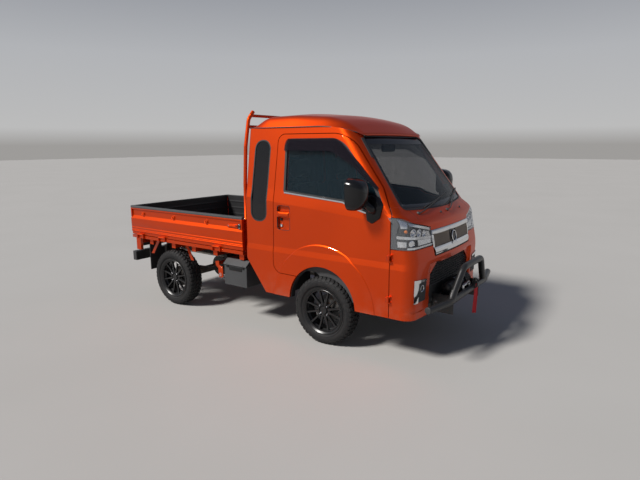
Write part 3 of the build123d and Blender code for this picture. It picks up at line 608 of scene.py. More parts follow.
# Faces of a panel that lean from each other by less than this are one flat face
FLAT = radians(0.3)


def rides_with(node):
    """Body that a CAD node rides on."""
    return NODES[node]["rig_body"]


def welded(node):
    """Working copy of a CAD node with its loose triangles merged and its flat faces whole again."""
    work = bmesh.new()
    work.from_mesh(NODES[node].data)
    bmesh.ops.remove_doubles(work, verts=work.verts, dist=WELD)
    bmesh.ops.dissolve_limit(work, angle_limit=FLAT, verts=work.verts, edges=work.edges)
    return work


def cut(work, place, normal):
    """Gives a panel a line of edges along a plane. It stays in one piece."""
    everything = work.verts[:] + work.edges[:] + work.faces[:]
    bmesh.ops.bisect_plane(work, geom=everything, plane_co=place, plane_no=normal)


def axis_cuts(work, axis, places):
    """Cuts a panel at places in metres along one axis."""
    normal = [float(axis == i) for i in range(3)]
    for place in places:
        cut(work, [place * n for n in normal], normal)


def sliced(work, steps):
    """Cuts a panel at even steps of millimetres along some axes, so that no face is long and thin."""
    for axis, step in steps.items():
        places = [vertex.co[axis] for vertex in work.verts]
        axis_cuts(work, axis, np.arange(min(places) + step * MM, max(places) - step * MM / 3, step * MM))


def panel(node, finish, bevel=0.0, smooth=28, shape=None, steps=None):
    """Piece that stands for a CAD node: its own form, with shape(work) pressed into it and its edges softened."""
    work = welded(node)
    if shape:
        shape(work)
    if steps:
        sliced(work, steps)
    mesh = poured(work, bpy.data.meshes.new(node + "_panel"))
    thing = dressed(node + "_panel", mesh, finish, rides_with(node), smooth, (node,))
    if bevel:
        soft = thing.modifiers.new("edges", "BEVEL")
        soft.width, soft.segments, soft.limit_method = bevel * MM, 2, "ANGLE"
        soft.angle_limit, soft.harden_normals = radians(35), True
    else:
        even = thing.modifiers.new("normals", "WEIGHTED_NORMAL")
        even.keep_sharp = True
    return thing


# The cab's outer form by height, as in the part's source: z, reach of the
# nose, bulge of the nose in plan, half width, front corner radius
CAB_SECTIONS = np.array([
    (300, 836, 45, 728, 95), (735, 850, 48, 733, 100), (782, 850, 50, 726, 102),
    (1085, 803, 60, 726, 120), (1150, 715, 71, 726, 112), (1850, 160, 12, 632, 105)], float)
BROW_Z = 1085
BROW_SOFT = 38
BROW_TURN = 1.2


def brow(z):
    """How far the crease above the lamps is rounded back: a parabola in place of the corner."""
    return BROW_TURN / (4 * BROW_SOFT) * np.maximum(BROW_SOFT - abs(z - BROW_Z), 0) ** 2


def section(z):
    """Reach, bulge, half width and corner radius of the cab at a height."""
    z = np.asarray(z, float)
    heights, *measures = CAB_SECTIONS.T
    reach, bulge, half, corner = (np.interp(z, heights, measure) for measure in measures)
    return reach - brow(z), bulge, half, corner


def corner_of(z):
    """Plan geometry at a height: nose radius and centre, corner radius and centre, angle where they meet."""
    reach, bulge, half, r = section(z)
    nose = (half ** 2 + bulge ** 2) / (2 * bulge)
    centre, y = reach - nose, half - r
    return nose, centre, r, centre + np.sqrt((nose - r) ** 2 - y ** 2), y, np.arcsin(y / (nose - r))


def lap(y, z):
    """Distance round the nose from its middle to a place at y on it."""
    nose, _, r, _, corner_y, meet = corner_of(z)
    y = np.asarray(y, float)
    size = np.abs(y)
    flat = nose * np.arcsin(np.minimum(size / nose, 1))
    bend = nose * meet + r * (np.arcsin(np.clip((size - corner_y) / r, -1, 1)) - meet)
    return np.sign(y) * np.where(size < (corner_y + r * np.sin(meet)), flat, bend)


def on_nose(s, z, out):
    """Point on the cab's form at a distance s round from its middle.

    The form is an arc over the nose, an arc round the corner, then straight back.
    """
    s, z = np.broadcast_arrays(np.asarray(s, float), np.asarray(z, float))
    nose, centre, r, corner_x, corner_y, meet = corner_of(z)
    size = np.abs(s)
    bend_start, bend_end = nose * meet, nose * meet + r * (pi / 2 - meet)
    angle = np.where(size < bend_start, size / nose, np.minimum(meet + (size - bend_start) / r, pi / 2))
    on_flat = size < bend_start
    x = np.where(on_flat, centre + nose * np.cos(angle), corner_x + r * np.cos(angle))
    y = np.where(on_flat, nose * np.sin(angle), corner_y + r * np.sin(angle))
    x = x - np.maximum(size - bend_end, 0)
    return point(x + out * np.cos(angle), (y + out * np.sin(angle)) * np.sign(s + TINY), z)


# The slanting crease of the cab's side: places along the truck and its height there
CREASE = ((CAB_REAR, -640, 500, 620), (1203, 1185, 1085, 1085))
CREASE_END = 620
CREASE_FADE = 60
# Height of the join above the crease, for two heights of the crease
JOIN_RISE = ((1085, 1185), (165, 100))
# The side leans in above LEAN_Z, and CREASE_LOW is below all of the crease
LEAN_Z = 1150
LEAN = 94 / 700
CREASE_LOW = 1000


def crease(x, z):
    """How far the cab's side is drawn in above its slanting crease.

    The side leans in straight from the crease up to a join, and stands as without a crease above it.
    """
    low = np.interp(x, *CREASE)
    high = low + np.interp(low, *JOIN_RISE)
    whole = CAB_HALF - np.maximum(z - LEAN_Z, 0) * LEAN
    share = np.clip((z - low) / (high - low), 0, 1)
    leant = CAB_HALF - share * (high - LEAN_Z) * LEAN
    drawn = np.where((z > CREASE_LOW) & (z < high), whole - leant, 0.0)
    return drawn * np.clip((CREASE_END - x) / CREASE_FADE, 0, 1)


def on_flank(x, z, side, out):
    """Point on the side of the cab at x and z, out from it."""
    x, z = np.broadcast_arrays(np.asarray(x, float), np.asarray(z, float))
    _, _, r, corner_x, corner_y, _ = corner_of(z)
    past = np.clip(x - corner_x, 0, r * 0.98)
    return point(x, side * (corner_y + np.sqrt(r ** 2 - past ** 2) - crease(x, z) + out), z)


def run_along(line):
    """Distance along a line to each of its points."""
    return np.concatenate([[0], np.cumsum(np.linalg.norm(np.diff(line, axis=0), axis=1))])


def spaced(line, count):
    """Count points evenly spaced along a line."""
    line = np.asarray(line, float)
    run = run_along(line)
    at_run = np.linspace(0, run[-1], count)
    return point(*(np.interp(at_run, run, column) for column in line.T))


def between(lower, upper, columns, rows=6):
    """Grid of places whose rows go from one line to another."""
    lower, upper = spaced(lower, columns), spaced(upper, columns)
    t = np.linspace(0, 1, rows)[:, None, None]
    return lower * (1 - t) + upper * t


def laid(grid, out, depth, side=1):
    """Slab on the nose from a grid of places y and z: its face stands out from the form, and it is depth thick."""
    y, z = grid[..., 0], grid[..., 1]
    s = side * lap(y, z)
    return shell(on_nose(s, z, out), on_nose(s, z, out - depth))


def slab(grid, form, out, inner):
    """Slab between two distances out from a form, from a grid of places on it."""
    u, v = grid[..., 0], grid[..., 1]
    return shell(form(u, v, out), form(u, v, inner))


def clad(grid, out, depth, side):
    """Slab on the side of the cab from a grid of places x and z."""
    return slab(grid, flank(side), out, out - depth)


def standing(profile, form, spot, out, steps=28):
    """Turned solid that stands on a form at a spot of it, out from it, and faces the way the form does there."""
    middle = form(*spot, out)
    return lathe(profile, middle, form(*spot, out + 1) - middle, steps)


def ringed(outline, count):
    """Closed outline as count points evenly spaced round it."""
    return spaced(np.vstack([outline, outline[:1]]), count + 1)[:-1]


def flank(side):
    """Lays places x and z on one side of the cab."""
    return lambda x, z, out: on_flank(x, z, side, out)


def nose(y, z, out):
    """Lays places y and z on the front of the cab."""
    return on_nose(lap(y, z), z, out)


def bordered(outline, outer, inner, place, out, depth):
    """Closed frame that follows an outline on a form: outer beyond it, inner inside it, depth thick."""
    step = inward(outline)
    outside, inside = (outline - step * outer).T, (outline + step * inner).T
    return looped([place(*line, level) for line, level in (
        (outside, out - depth), (outside, out), (inside, out), (inside, out - depth))])


def looped(loops):
    """Closed frame through loops of points that lie round one another, the last next to the first."""
    return np.concatenate(loops), [quads(len(loops), len(loops[0]), True, True)]


def softened(line, window):
    """Line with its corners rounded: each point is the mean of the line around it, less near the ends."""
    line = np.asarray(line, float)
    run = run_along(line)
    reach = np.minimum(window, np.minimum(run, run[-1] - run))
    offsets = np.linspace(-1, 1, 13)
    weight = 1 - abs(offsets) * 0.8
    at_run = run[:, None] + reach[:, None] * offsets
    return point(*((np.interp(at_run, run, c) * weight).sum(1) / weight.sum() for c in line.T))


# Painted shell


# The rounding of the brow fades in over BROW_FADE from the door gap forwards
BROW_FADE = 45
# Heights of the folded band along the cab's side
FOLDS = (735, 782)
CREASE_LINE = ((-640, 1185), (500, 1085))
JOIN_LINE = ((-640, 1285), (500, 1250))
# Middle of the front wheel's arch, and the outer radius of its ring
ARCH = (-10, 335)
ARCH_RING = 505
RING_BAND = 26
# Further out than this is the truck's side, and closer than ON_FACE to a face is on it
SIDE_FROM = 700
ON_FACE = 4


def place_of(vertex):
    """Place of a panel's point, ahead of the front axle like all the places here."""
    return vertex.co.x / MM - FRONT_AXLE, vertex.co.y / MM, vertex.co.z / MM


def level_cuts(work, heights):
    """Cuts a panel level at each height, so that its shading turns only there."""
    axis_cuts(work, 2, [z * MM for z in heights])


def brow_cut(work):
    """Cuts a panel across the crease above the lamps and rounds it back, fading out towards the doors."""
    level_cuts(work, np.linspace(BROW_Z - BROW_SOFT, BROW_Z + BROW_SOFT, 9))
    for vertex in work.verts:
        x, _, z = place_of(vertex)
        vertex.co.x -= float(brow(z)) * MM * min(max((x - CREASE_END) / BROW_FADE, 0), 1)


def creased(work):
    """Cuts a panel of the cab's side along its folds and its slanting crease, and draws it in above the crease."""
    level_cuts(work, FOLDS)
    for (x0, z0), (x1, z1) in (CREASE_LINE, JOIN_LINE):
        cut(work, ((x0 + FRONT_AXLE) * MM, 0, z0 * MM), Vector((z0 - z1, 0, x1 - x0)).normalized())
    for vertex in work.verts:
        x, y, z = place_of(vertex)
        if abs(y) > section(z)[2] - ON_FACE and x < CREASE_END:
            vertex.co.y -= float(crease(x, z)) * MM * (1 if y > 0 else -1)


def fold_of(places):
    """Number of the fold that each place lies on, or 0."""
    x, z = places[:, 0] - FRONT_AXLE, places[:, 2]
    (x0, z0), (x1, z1) = CREASE_LINE
    above = z - z0 - (x - x0) * (z1 - z0) / (x1 - x0)
    on_crease = (abs(above) < 0.8) & (x < CREASE_END - CREASE_FADE) & (abs(places[:, 1]) > SIDE_FROM)
    return np.select([abs(z - FOLDS[0]) < 0.5, abs(z - FOLDS[1]) < 0.5, on_crease], [1, 2, 3], 0)


def on_arch_ring(mesh, places):
    """Edges where the raised ring round the front wheel's arch meets the flat of the side."""
    work = bmesh.new()
    work.from_mesh(mesh)
    turns = np.array([len(edge.link_faces) == 2 and edge.calc_face_angle(0.0) > radians(3) for edge in work.edges])
    work.free()
    radius = np.hypot(places[..., 0] - FRONT_AXLE - ARCH[0], places[..., 2] - ARCH[1])
    near = (abs(radius - ARCH_RING) < RING_BAND) & (abs(places[..., 1]) > SIDE_FROM)
    return turns & near.all(1)


def folded(thing):
    """Marks the edges along a panel's folds sharp."""
    mesh = thing.data
    places, pairs = np.empty(len(mesh.vertices) * 3), np.empty(len(mesh.edges) * 2, int)
    sharp = np.empty(len(mesh.edges), bool)
    mesh.vertices.foreach_get("co", places)
    mesh.edges.foreach_get("vertices", pairs)
    mesh.edges.foreach_get("use_edge_sharp", sharp)
    places, pairs = places.reshape(-1, 3) / MM, pairs.reshape(-1, 2)
    fold = fold_of(places)[pairs]
    along = (fold[:, 0] == fold[:, 1]) & (fold[:, 0] > 0)
    mesh.edges.foreach_set("use_edge_sharp", sharp | along | on_arch_ring(mesh, places[pairs]))


# The recess round the bumper's intake: where its sides and its top and foot
# slope, as half widths and heights, and how deep it is
RECESS_HALF = (452, 466)
RECESS_Z = (474, 486, 742, 756)
RECESS_DEPTH = 24
# The bumper's lip stands out below LIP_Z, over a slope of LIP_SLOPE
LIP_Z = 414
LIP_SLOPE = 10
LIP_OUT = 5
LIP_FROM = 640


def bumper_recess(work):
    """Sets the bumper back round its intake, and steps it out below a crease near its foot."""
    level_cuts(work, FOLDS)
    axis_cuts(work, 1, [side * y * MM for side, _ in SIDES for y in RECESS_HALF])
    level_cuts(work, (*RECESS_Z, LIP_Z, LIP_Z - LIP_SLOPE))
    for vertex in work.verts:
        x, y, z = place_of(vertex)
        if abs(x - float(nose(abs(y), z, 0.0)[0])) >= ON_FACE:
            continue
        if abs(y) <= RECESS_HALF[0] + 1 and RECESS_Z[1] - 1 <= z <= RECESS_Z[2] + 1:
            vertex.co.x -= RECESS_DEPTH * MM
        elif z < LIP_Z - LIP_SLOPE + 1 and x > LIP_FROM:
            vertex.co.x += LIP_OUT * MM


# A face of a panel this deep inside the cab's form is on its inside, unless it lies level
INSIDE = 44
LEVEL = 0.9
LINING_THICK = 2.0
FOLD_ANGLE = 28


def depth_in(x, y, z):
    """How far a place is inside the cab's form, seen level."""
    ahead = nose(np.clip(y, -SIDE_FROM, SIDE_FROM), z, 0.0)[..., 0] - x
    return np.minimum(np.minimum(section(z)[2] - abs(y), x - CAB_REAR), ahead)


def lined(node, finish):
    """Thin lining over the inside faces of a painted panel."""
    work = welded(node)
    outside = []
    for face in work.faces:
        place = np.array(face.calc_center_median()) / MM - (FRONT_AXLE, 0, 0)
        if depth_in(*place) < INSIDE or abs(face.normal.z) > LEVEL:
            outside.append(face)
    bmesh.ops.delete(work, geom=outside, context="FACES")
    mesh = poured(work, bpy.data.meshes.new(node + "_lining"))
    thing = dressed(node + "_lining", mesh, finish, rides_with(node), FOLD_ANGLE)
    skin = thing.modifiers.new("skin", "SOLIDIFY")
    skin.thickness, skin.offset = LINING_THICK * MM, 1.0


# Grooves near the foot of a gate's outer face
GROOVES = (741, 754, 779)
GROOVE_HALF = 4
GROOVE_DEPTH = 3.5
GATE_FACE = 736


def gate_grooves(work):
    """Presses shallow grooves along the outer face of a gate, near its foot."""
    level_cuts(work, [z for groove in GROOVES for z in (groove - GROOVE_HALF, groove, groove + GROOVE_HALF)])
    for vertex in work.verts:
        x, y, z = place_of(vertex)
        if min(abs(z - groove) for groove in GROOVES) >= 0.5:
            continue
        if abs(y) > GATE_FACE:
            vertex.co.y -= GROOVE_DEPTH * MM * (1 if y > 0 else -1)
        elif abs(y) < SIDE_FROM and x < TAIL + 1:
            vertex.co.x += GROOVE_DEPTH * MM


# Steps along X and Z at which the painted panels are cut
CUTS = {0: 110, 2: 58}
for node in ("cab_shell", "door_left", "door_right"):
    folded(panel(node, PAINT, steps=CUTS, shape=creased))
    lined(node, CABIN)
folded(panel("front_bumper", PAINT, shape=bumper_recess, steps=CUTS))
lined("front_panel", CABIN)
panel("front_panel", PAINT, shape=brow_cut, steps=CUTS)
for node in ("side_gate_left", "side_gate_right", "tail_gate"):
    panel(node, PAINT, bevel=2.0, smooth=14, shape=gate_grooves)
# Nodes that keep their own form: finish, width of their soft edges, smooth up to, nodes
for finish, bevel, smooth, nodes in (
        (PAINT, 0, 28, "bed_floor guard_frame"),
        (CAP, 5, 50, "side_gate_trim_left side_gate_trim_right tail_gate_trim"),
        (BOX, 9, 50, "tool_box tool_box_lid"), (STEEL, 1.5, 40, "rear_beam winch bull_bar"),
        (FRAME, 0, 40, "chassis_frame front_suspension rear_axle"),
        (IRON, 3, 28, "engine_block knuckle_left knuckle_right"), (EXHAUST, 2, 40, "exhaust fuel_tank"),
        (SEAL, 0, 28, "mud_flaps"), (MAT, 3, 28, "cab_floor"), (CABIN, 8, 28, "dashboard"),
        (CABIN, 0, 28, "steering_column"), (SCREEN, 0, 28, "windshield"),
        (DOOR_GLASS, 0, 28, "door_glass_left door_glass_right"), (PRIVACY, 0, 28, "cab_glass")):
    for node in nodes.split():
        panel(node, finish, bevel, smooth)


# Roof form by length, as in the part's source: x, gutter half width, gutter
# z, shoulder half width, shoulder z, crown z
ROOF_SECTIONS = np.array([
    (-840, 634, 1797, 560, 1801, 1809), (-700, 640, 1797, 575, 1888, 1922),
    (-400, 641, 1797, 573, 1893, 1932), (-50, 640, 1797, 566, 1876, 1902),
    (119, 630, 1779, 550, 1832, 1857), (200, 600, 1758, 530, 1780, 1799),
    (264, 545, 1732, 490, 1737, 1743)], float)
# How far its bends are softened along the truck, and its shoulder across it
ROOF_SOFT = 60
SHOULDER_SOFT = 45


def roof_rows():
    """The roof's six measures along its length, each softened where it bends."""
    places, *measures = ROOF_SECTIONS.T
    x = np.linspace(places[0], places[-1], 72)
    reach = np.minimum(ROOF_SOFT, np.minimum(x - x[0], x[-1] - x))
    near = x[:, None] + reach[:, None] * np.linspace(-1, 1, 13)
    return point(x, *(np.interp(near, places, measure).mean(1) for measure in measures))


def roof_skin(inset=0.0):
    """Grid over the roof: each row runs from gutter to shoulder, over the crown's parabola and down again."""
    skin = []
    for x, gutter, gutter_z, shoulder, shoulder_z, crown_z in roof_rows():
        y = np.linspace(-1, 1, 41) * (shoulder - inset)
        rise = crown_z - shoulder_z
        top = point(y, shoulder_z - inset + rise * (1 - (y / (shoulder - inset)) ** 2))
        left, right = (-gutter + inset, gutter_z), (gutter - inset, gutter_z)
        line = spaced(np.concatenate([[left], top, [right]]), 81)
        line = spaced(softened(line, min(SHOULDER_SOFT, (shoulder_z - gutter_z) * 0.6 + 6)), 65)
        skin.append(point(x, *line.T))
    return np.array(skin)


roof = roof_skin()
made("roof_skin", shell(roof, roof_skin(9.0) - (0, 0, 3)), PAINT, smooth=60, replaces=("cab_roof",))
lining = roof_skin(26.0)[1:-1]
made("roof_lining", shell(lining, lining - (0, 0, 5)), LINING, smooth=60)


def gutter(side):
    """Drip moulding along the roof's edge on one side, black so that it also paints the shade in the crease at the
    roof's joint.
    """
    column = 0 if side < 0 else -1
    return tube(roof[::3, column] + (0, side * 1.5, 1.0), 4.0, 8)


made("roof_gutter_shade_lines", both(gutter), SEAL)


# Wheels, worked out about the origin with their outer face towards +Y


# Corners of a block of tread, as shares of its width and its length
CORNERS = np.array([(-1, -1), (1, -1), (1, 1), (-1, 1)]) / 2
TREAD_TOP = 288.6
TREAD_BASE = 279.5
# The tread falls away from this far across it, as a parabola
TREAD_FLAT = 58
TREAD_FALL = 0.055
SHOULDER_R = 277.0


def on_wheel_rim(radius, y, turn):
    """Points about a wheel's axle at a radius, a place along the axle and an angle."""
    return point(radius * np.sin(turn), y, radius * np.cos(turn))


def tread_block(turn, y, width, length, skew):
    """Points of one tread block, narrower at its top: an angle round the tyre, a place and width across it."""
    blocks = []
    for radius, grow in ((TREAD_BASE, 1.12), (TREAD_TOP, 0.92)):
        across = y + CORNERS[:, 0] * width * grow
        round_ = turn + (CORNERS[:, 1] * length * grow + CORNERS[:, 0] * skew) / radius
        lowered = radius - np.maximum(abs(across) - TREAD_FLAT, 0) ** 2 * TREAD_FALL
        blocks.append(on_wheel_rim(lowered, across, round_))
    return np.concatenate(blocks)


def shoulder_lug(turn, side, inner, width):
    """Points of a lug on the shoulder: two rings of corners, on the sidewall and standing out from it."""
    blocks = []
    for lift, grow in ((-3.0, 1.1), (3.4, 0.9)):
        radius = np.where(CORNERS[:, 1] < 0, inner, SHOULDER_R)
        flat = np.interp(radius, [232, 258, 271, SHOULDER_R], [81, 79, 74, 66]) + lift
        round_ = turn + CORNERS[:, 0] * width * grow / radius
        radius = radius + (lift > 0) * np.where(CORNERS[:, 1] > 0, 4.0, 0.0)
        blocks.append(on_wheel_rim(radius, side * flat, round_))
    return np.concatenate(blocks)


PITCHES = 44


def tread():
    """All the tread blocks of a tyre: shoulder lugs that step in and out, and slanted rows between them."""
    faces = np.array([(0, 1, 5, 4), (1, 2, 6, 5), (2, 3, 7, 6), (3, 0, 4, 7), (4, 5, 6, 7)])
    points = []
    for i in range(PITCHES):
        turn = 2 * pi * i / PITCHES
        step, lug_from = (3, 250) if i % 2 else (-3, 259)
        for side, late, later in ((-1, 0, 0.1), (1, 0.07, 0.03)):
            points.append(tread_block(turn + late, side * (63 + step / 2), 26 + step, 27, 5 * side))
            points.append(tread_block(turn + later, side * 34, 22, 25, -9 * side))
            points.append(shoulder_lug(turn + late, side, lug_from, 24))
        points.append(tread_block(turn + 0.05, step, 25, 26, 12))
    start = np.arange(len(points))[:, None, None] * 8
    return np.concatenate(points), [(faces + start).reshape(-1, 4)]


# Half of the tyre's section, from its bead to the edge of its tread
SIDEWALL = [(62, 190), (67, 203), (76, 214), (81, 232), (81.5, 244), (79, 258), (74, 271), (65, 277), (50, 280)]
ORIGIN = (0, 0, 0)


def carcass():
    """Tyre without its tread, and the raised line round each sidewall by the bead."""
    profile = [(-y, r) for y, r in SIDEWALL] + SIDEWALL[::-1]
    lines = [lathe([(side * 77.5, 215.5), (side * 80.3, 217.5), (side * 81.2, 221), (side * 79, 222)],
                   ORIGIN, steps=88, ring=True) for side in (-1, 1)]
    return joined(lathe(profile, ORIGIN, steps=88, ring=True), *lines)


SPOKES = 12


def barrel():
    """Rim barrel with its flanges, a step behind the outer one and the drop in the middle."""
    outline = [(-74, 203), (-67, 203), (-63, 191), (-20, 189), (-8, 178), (24, 178), (36, 189), (63, 191),
               (67, 203), (74, 203), (74, 198), (68, 191), (63, 183), (36, 180), (24, 170), (-8, 170), (-20, 181),
               (-68, 184), (-74, 196)]
    return lathe(outline, ORIGIN, steps=72, ring=True)


def spoke(turn):
    """Spoke from hub to barrel: it dips from the hub, thins out and forks a little at the rim."""
    r = np.array([44, 60, 90, 125, 155, 176, 185])
    y = np.array([45, 46, 45, 44, 47, 53, 56])
    width = np.array([13, 11, 8.5, 7.5, 8.0, 10.5, 14])
    depth = np.array([26, 24, 20, 17, 18, 22, 26])
    corners = np.array([(-1, 0), (-0.75, -0.18), (0.75, -0.18), (1, 0), (0.8, 1), (-0.8, 1)])
    across = corners[None, :, 0] * width[:, None]
    along = y[:, None] - corners[None, :, 1] * depth[:, None]
    radial = r[:, None]
    c, s = cos(turn), sin(turn)
    return rings(point(radial * s + across * c, along, radial * c - across * s))


def hub():
    """Hub disc with its raised centre and sunk nut seats' ring."""
    return lathe([(21.5, 0), (21.5, 64), (38, 64), (44, 60), (45, 54), (42, 50), (42, 34), (52, 32), (55, 29),
                  (55, 10), (53, 0)], ORIGIN, steps=48)


def rim_ring():
    """Inner lip that the spokes meet."""
    return lathe([(50, 184), (58, 184), (63, 178), (62, 172), (56, 171), (48, 178)], ORIGIN, steps=72, ring=True)


def wheel_rim():
    """Lacquered parts of a wheel: barrel, lip, spokes and hub."""
    spokes = [spoke(2 * pi * (i + 0.5) / SPOKES) for i in range(SPOKES)]
    return joined(barrel(), rim_ring(), hub(), *spokes)


NUTS = 4
NUT_CIRCLE = 50
RIVETS = 12
RIVET_CIRCLE = 177.5


def wheel_bolts():
    """Plated nuts round the hub and small bolts round the lip."""
    nuts = []
    for i in range(NUTS):
        middle = on_wheel_rim(NUT_CIRCLE, 0, 2 * pi * (i + 0.5) / NUTS)
        nuts.append(lathe([(38, 0), (38, 12), (44, 12), (46, 9), (58, 8.5), (60, 6), (60, 0)], middle, steps=6))
    for i in range(RIVETS):
        middle = on_wheel_rim(RIVET_CIRCLE, 0, 2 * pi * i / RIVETS)
        nuts.append(lathe([(60, 0), (60, 3.4), (64, 2.9), (65, 0)], middle, steps=6))
    return joined(*nuts)


def valve():
    """Tyre valve by the lip."""
    return lathe([(52, 0), (52, 4), (70, 3.4), (72, 2.4), (72, 0)], (166, 0, 22), steps=8)


# What a wheel is made of: node, piece, form, finish, smooth up to, whether it stands for the node
WHEEL_PARTS = (("tyre", "rubber", joined(carcass(), tread()), TYRE, 30, True),
               ("rim", "casting", wheel_rim(), RIM, 34, True),
               ("rim", "nuts", wheel_bolts(), NUT, 34, False),
               ("rim", "valve", valve(), SEAL, 34, False))
for x, end in ((0, "front"), (-WHEELBASE, "rear")):
    for side, name in SIDES:
        for node, piece, form, finish, smooth, stands in WHEEL_PARTS:
            node = f"{node}_{end}_{name}"
            there = moved(form, (x, side * TRACK_HALF, AXLE_Z), (1, side, 1))
            made(f"{node}_{piece}", there, finish, rides_with(node), smooth, (node,) if stands else ())


# Headlamps, from behind their covers outwards. A place on a lamp is v and z:
# v is y up to the cab's side, and from there runs on to the door gap

LAMP_SIDE = 726
LAMP_END = 800
LAMP_REAR = 622


def on_lamp(v, z, side, out):
    """Point of a lamp: v across and then back along the cab's side, z up, out from the cab's form."""
    v, z = np.broadcast_arrays(np.asarray(v, float), np.asarray(z, float))
    back = (corner_of(z)[3] - LAMP_REAR) * np.maximum(v - LAMP_SIDE, 0) / (LAMP_END - LAMP_SIDE)
    return on_nose(side * (lap(np.minimum(v, LAMP_SIDE), z) + back), z, out)


def lamp_face(side):
    """Lays places v and z on one lamp."""
    return lambda v, z, out: on_lamp(v, z, side, out)


def slabs(rows, out, depth, columns=14):
    """Maker of a lamp's slabs from pairs of a lower and an upper line."""
    grids = [between(lower, upper, columns) for lower, upper in rows]
    return lambda side: joined(*(slab(grid, lamp_face(side), out, out - depth) for grid in grids))


LAMP_TOP = [(403, 1028), (520, 1054), (628, 1079), (660, 1102), (690, 1117),
            (LAMP_SIDE, 1123), (LAMP_END, 1126)]
LAMP_FOOT = [(403, 890), (560, 889), (690, 889), (LAMP_END, 891)]

lamp_cover = slabs([(LAMP_FOOT, LAMP_TOP)], 2, 4, 30)
lamp_back = slabs([([(401, 887), (690, 887), (LAMP_END, 888)],
                    [(401, 1031), (628, 1083), (690, 1121), (LAMP_END, 1130)])], -36, 8, 30)
lamp_frame = slabs([([(742, 893), (LAMP_END, 893)], [(713, 1116), (LAMP_END, 1122)])], 0, 34, 8)
lamp_chrome = slabs([
    ([(718, 1046), (690, 1046)], [(713, 1112), (672, 1090)]),
    ([(670, 1064), (560, 1040), (404, 1004)], [(668, 1086), (628, 1074), (404, 1024)]),
    ([(738, 970), (640, 962), (404, 940)], [(734, 992), (640, 980), (404, 962)]),
    ([(742, 906), (708, 910)], [(740, 952), (704, 948)]),
    ([(706, 891), (404, 892)], [(704, 905), (404, 903)])], -7, 26, 18)
# Black slabs in the gaps between the chrome strips: painted shade deep inside the lamp
lamp_recess_shade = slabs([([(722, 1004), (710, 1004)], [(722, 1042), (712, 1042)]),
                   ([(736, 955), (702, 958)], [(736, 968), (702, 968)]),
                   ([(700, 906), (404, 905)], [(700, 910), (404, 908)])], -12, 18)


# Bowls from the amber hood to the grille: place, radius, depth, radius of the bulb
BOWLS = (((645, 1008), 29, 26, 7), ((570, 1000), 30, 26, 8), ((500, 990), 25, 16, 6))
BOWL_OUT = -8
BOWL_WALL = 3
BOWL_BACK = 4


def bowl(spot, radius, deep, side):
    """Reflector bowl sunk into the lamp, facing the way the nose faces there."""
    turn = np.linspace(0, 1, 7) * pi / 2
    inside = [(-deep * cos(t), radius * sin(t)) for t in turn]
    outside = [(-(deep + BOWL_BACK) * cos(t), (radius + BOWL_WALL) * sin(t)) for t in turn[::-1]]
    return standing([*inside, (0, radius + BOWL_WALL), *outside], lamp_face(side), spot, BOWL_OUT, 32)


def lamp_bowls(side):
    """Three bowls in a row: the one by the amber hood, the main one and a flatter one by the grille."""
    return joined(*(bowl(spot, radius, deep, side) for spot, radius, deep, _ in BOWLS))


def bulbs(side):
    """Hooded bulb in each bowl."""
    return joined(*(standing([(0, 0), (0, r), (12, r), (16, r * 0.7), (17, 0)], lamp_face(side), spot, -30, 16)
                    for spot, _, _, r in BOWLS))


def flutes(side):
    """Ribs of the lamp's reflectors: upright ones low down, slanted ones above them by the grille."""
    ribs = []
    for v in np.arange(412, 598, 11.0):
        line = on_lamp(np.full(5, v), np.linspace(911, np.interp(v, [404, 640], [938, 958]), 5), side, -13)
        ribs.append(tube(line, 4.6, 8, Y))
    for v in np.arange(412, 470, 9.0):
        line = on_lamp(np.linspace(v, v + 14, 4), np.linspace(964, 1004, 4), side, -13)
        ribs.append(tube(line, 3.4, 6, Y))
    return joined(*ribs)


def lamp_lens(side):
    """Lower projector lens in its short barrel."""
    profile = [(-10, 0), (-10, 26), (4, 26), (6, 23), (2, 21), (5, 12), (6, 0)]
    return standing(profile, lamp_face(side), (672, 934), -14)


def amber_hood(side):
    """Amber bulb hood between the first bowl and the lamp's outer end."""
    profile = [(-6, 0), (-6, 13), (4, 12), (9, 7), (10.5, 0)]
    return standing(profile, lamp_face(side), (697, 1022), -18, 20)


for name, make, finish in (
        ("housings", lamp_back, TRIM), ("frames", lamp_frame, BEZEL), ("chrome", lamp_chrome, CHROME),
        ("bowls", lamp_bowls, REFLECTOR), ("bulbs", bulbs, BRIGHT), ("flutes", flutes, REFLECTOR),
        ("recesses", lamp_recess_shade, BLACK), ("lenses", lamp_lens, REFLECTOR), ("amber_hoods", amber_hood, AMBER),
        ("covers", lamp_cover, CLEAR)):
    made(f"headlamp_{name}", both(make), finish, smooth=50, replaces=("headlamps",) if name == "housings" else ())


# Grille between the lamps


def crowned(grid, out, crown, depth):
    """Slab on the nose whose face is rounded across its height."""
    rows = np.linspace(-1, 1, len(grid))[:, None]
    y, z = grid[..., 0], grid[..., 1]
    return shell(nose(y, z, out + crown * (1 - rows ** 2)), nose(y, z, -depth))


def nose_grid(half_low, half_high, low, high, columns, rows):
    """Grid of places over the middle of the nose between two heights, each with its own half width."""
    return between([(-half_low, low), (half_low, low)], [(-half_high, high), (half_high, high)], columns, rows)


MESH_Z = (866, 970)
MESH_HALF = 376
MESH_PITCH = 11.0
EMBLEM_Z = 908
EMBLEM_R = 43


def grille_chrome():
    """Bars above and below the mesh, their uprights by the lamps and the cradle under the emblem's place."""
    low, high = MESH_Z
    bars = [crowned(grid, 0, 7, 16) for grid in (
        nose_grid(399, 399, 966, 1002, 40, 7), nose_grid(368, 384, 812, 866, 40, 7))]
    cradle = crowned(nose_grid(60, 46, 846, 866, 16, 5), 4, 6, 4)
    ends = [between([(side * 374, low), (side * 396, low + 6)], [(side * 374, high), (side * 399, high)], 4, 8)
            for side, _ in SIDES]
    return joined(*bars, cradle, *(crowned(grid, 0, 3, 16) for grid in ends))


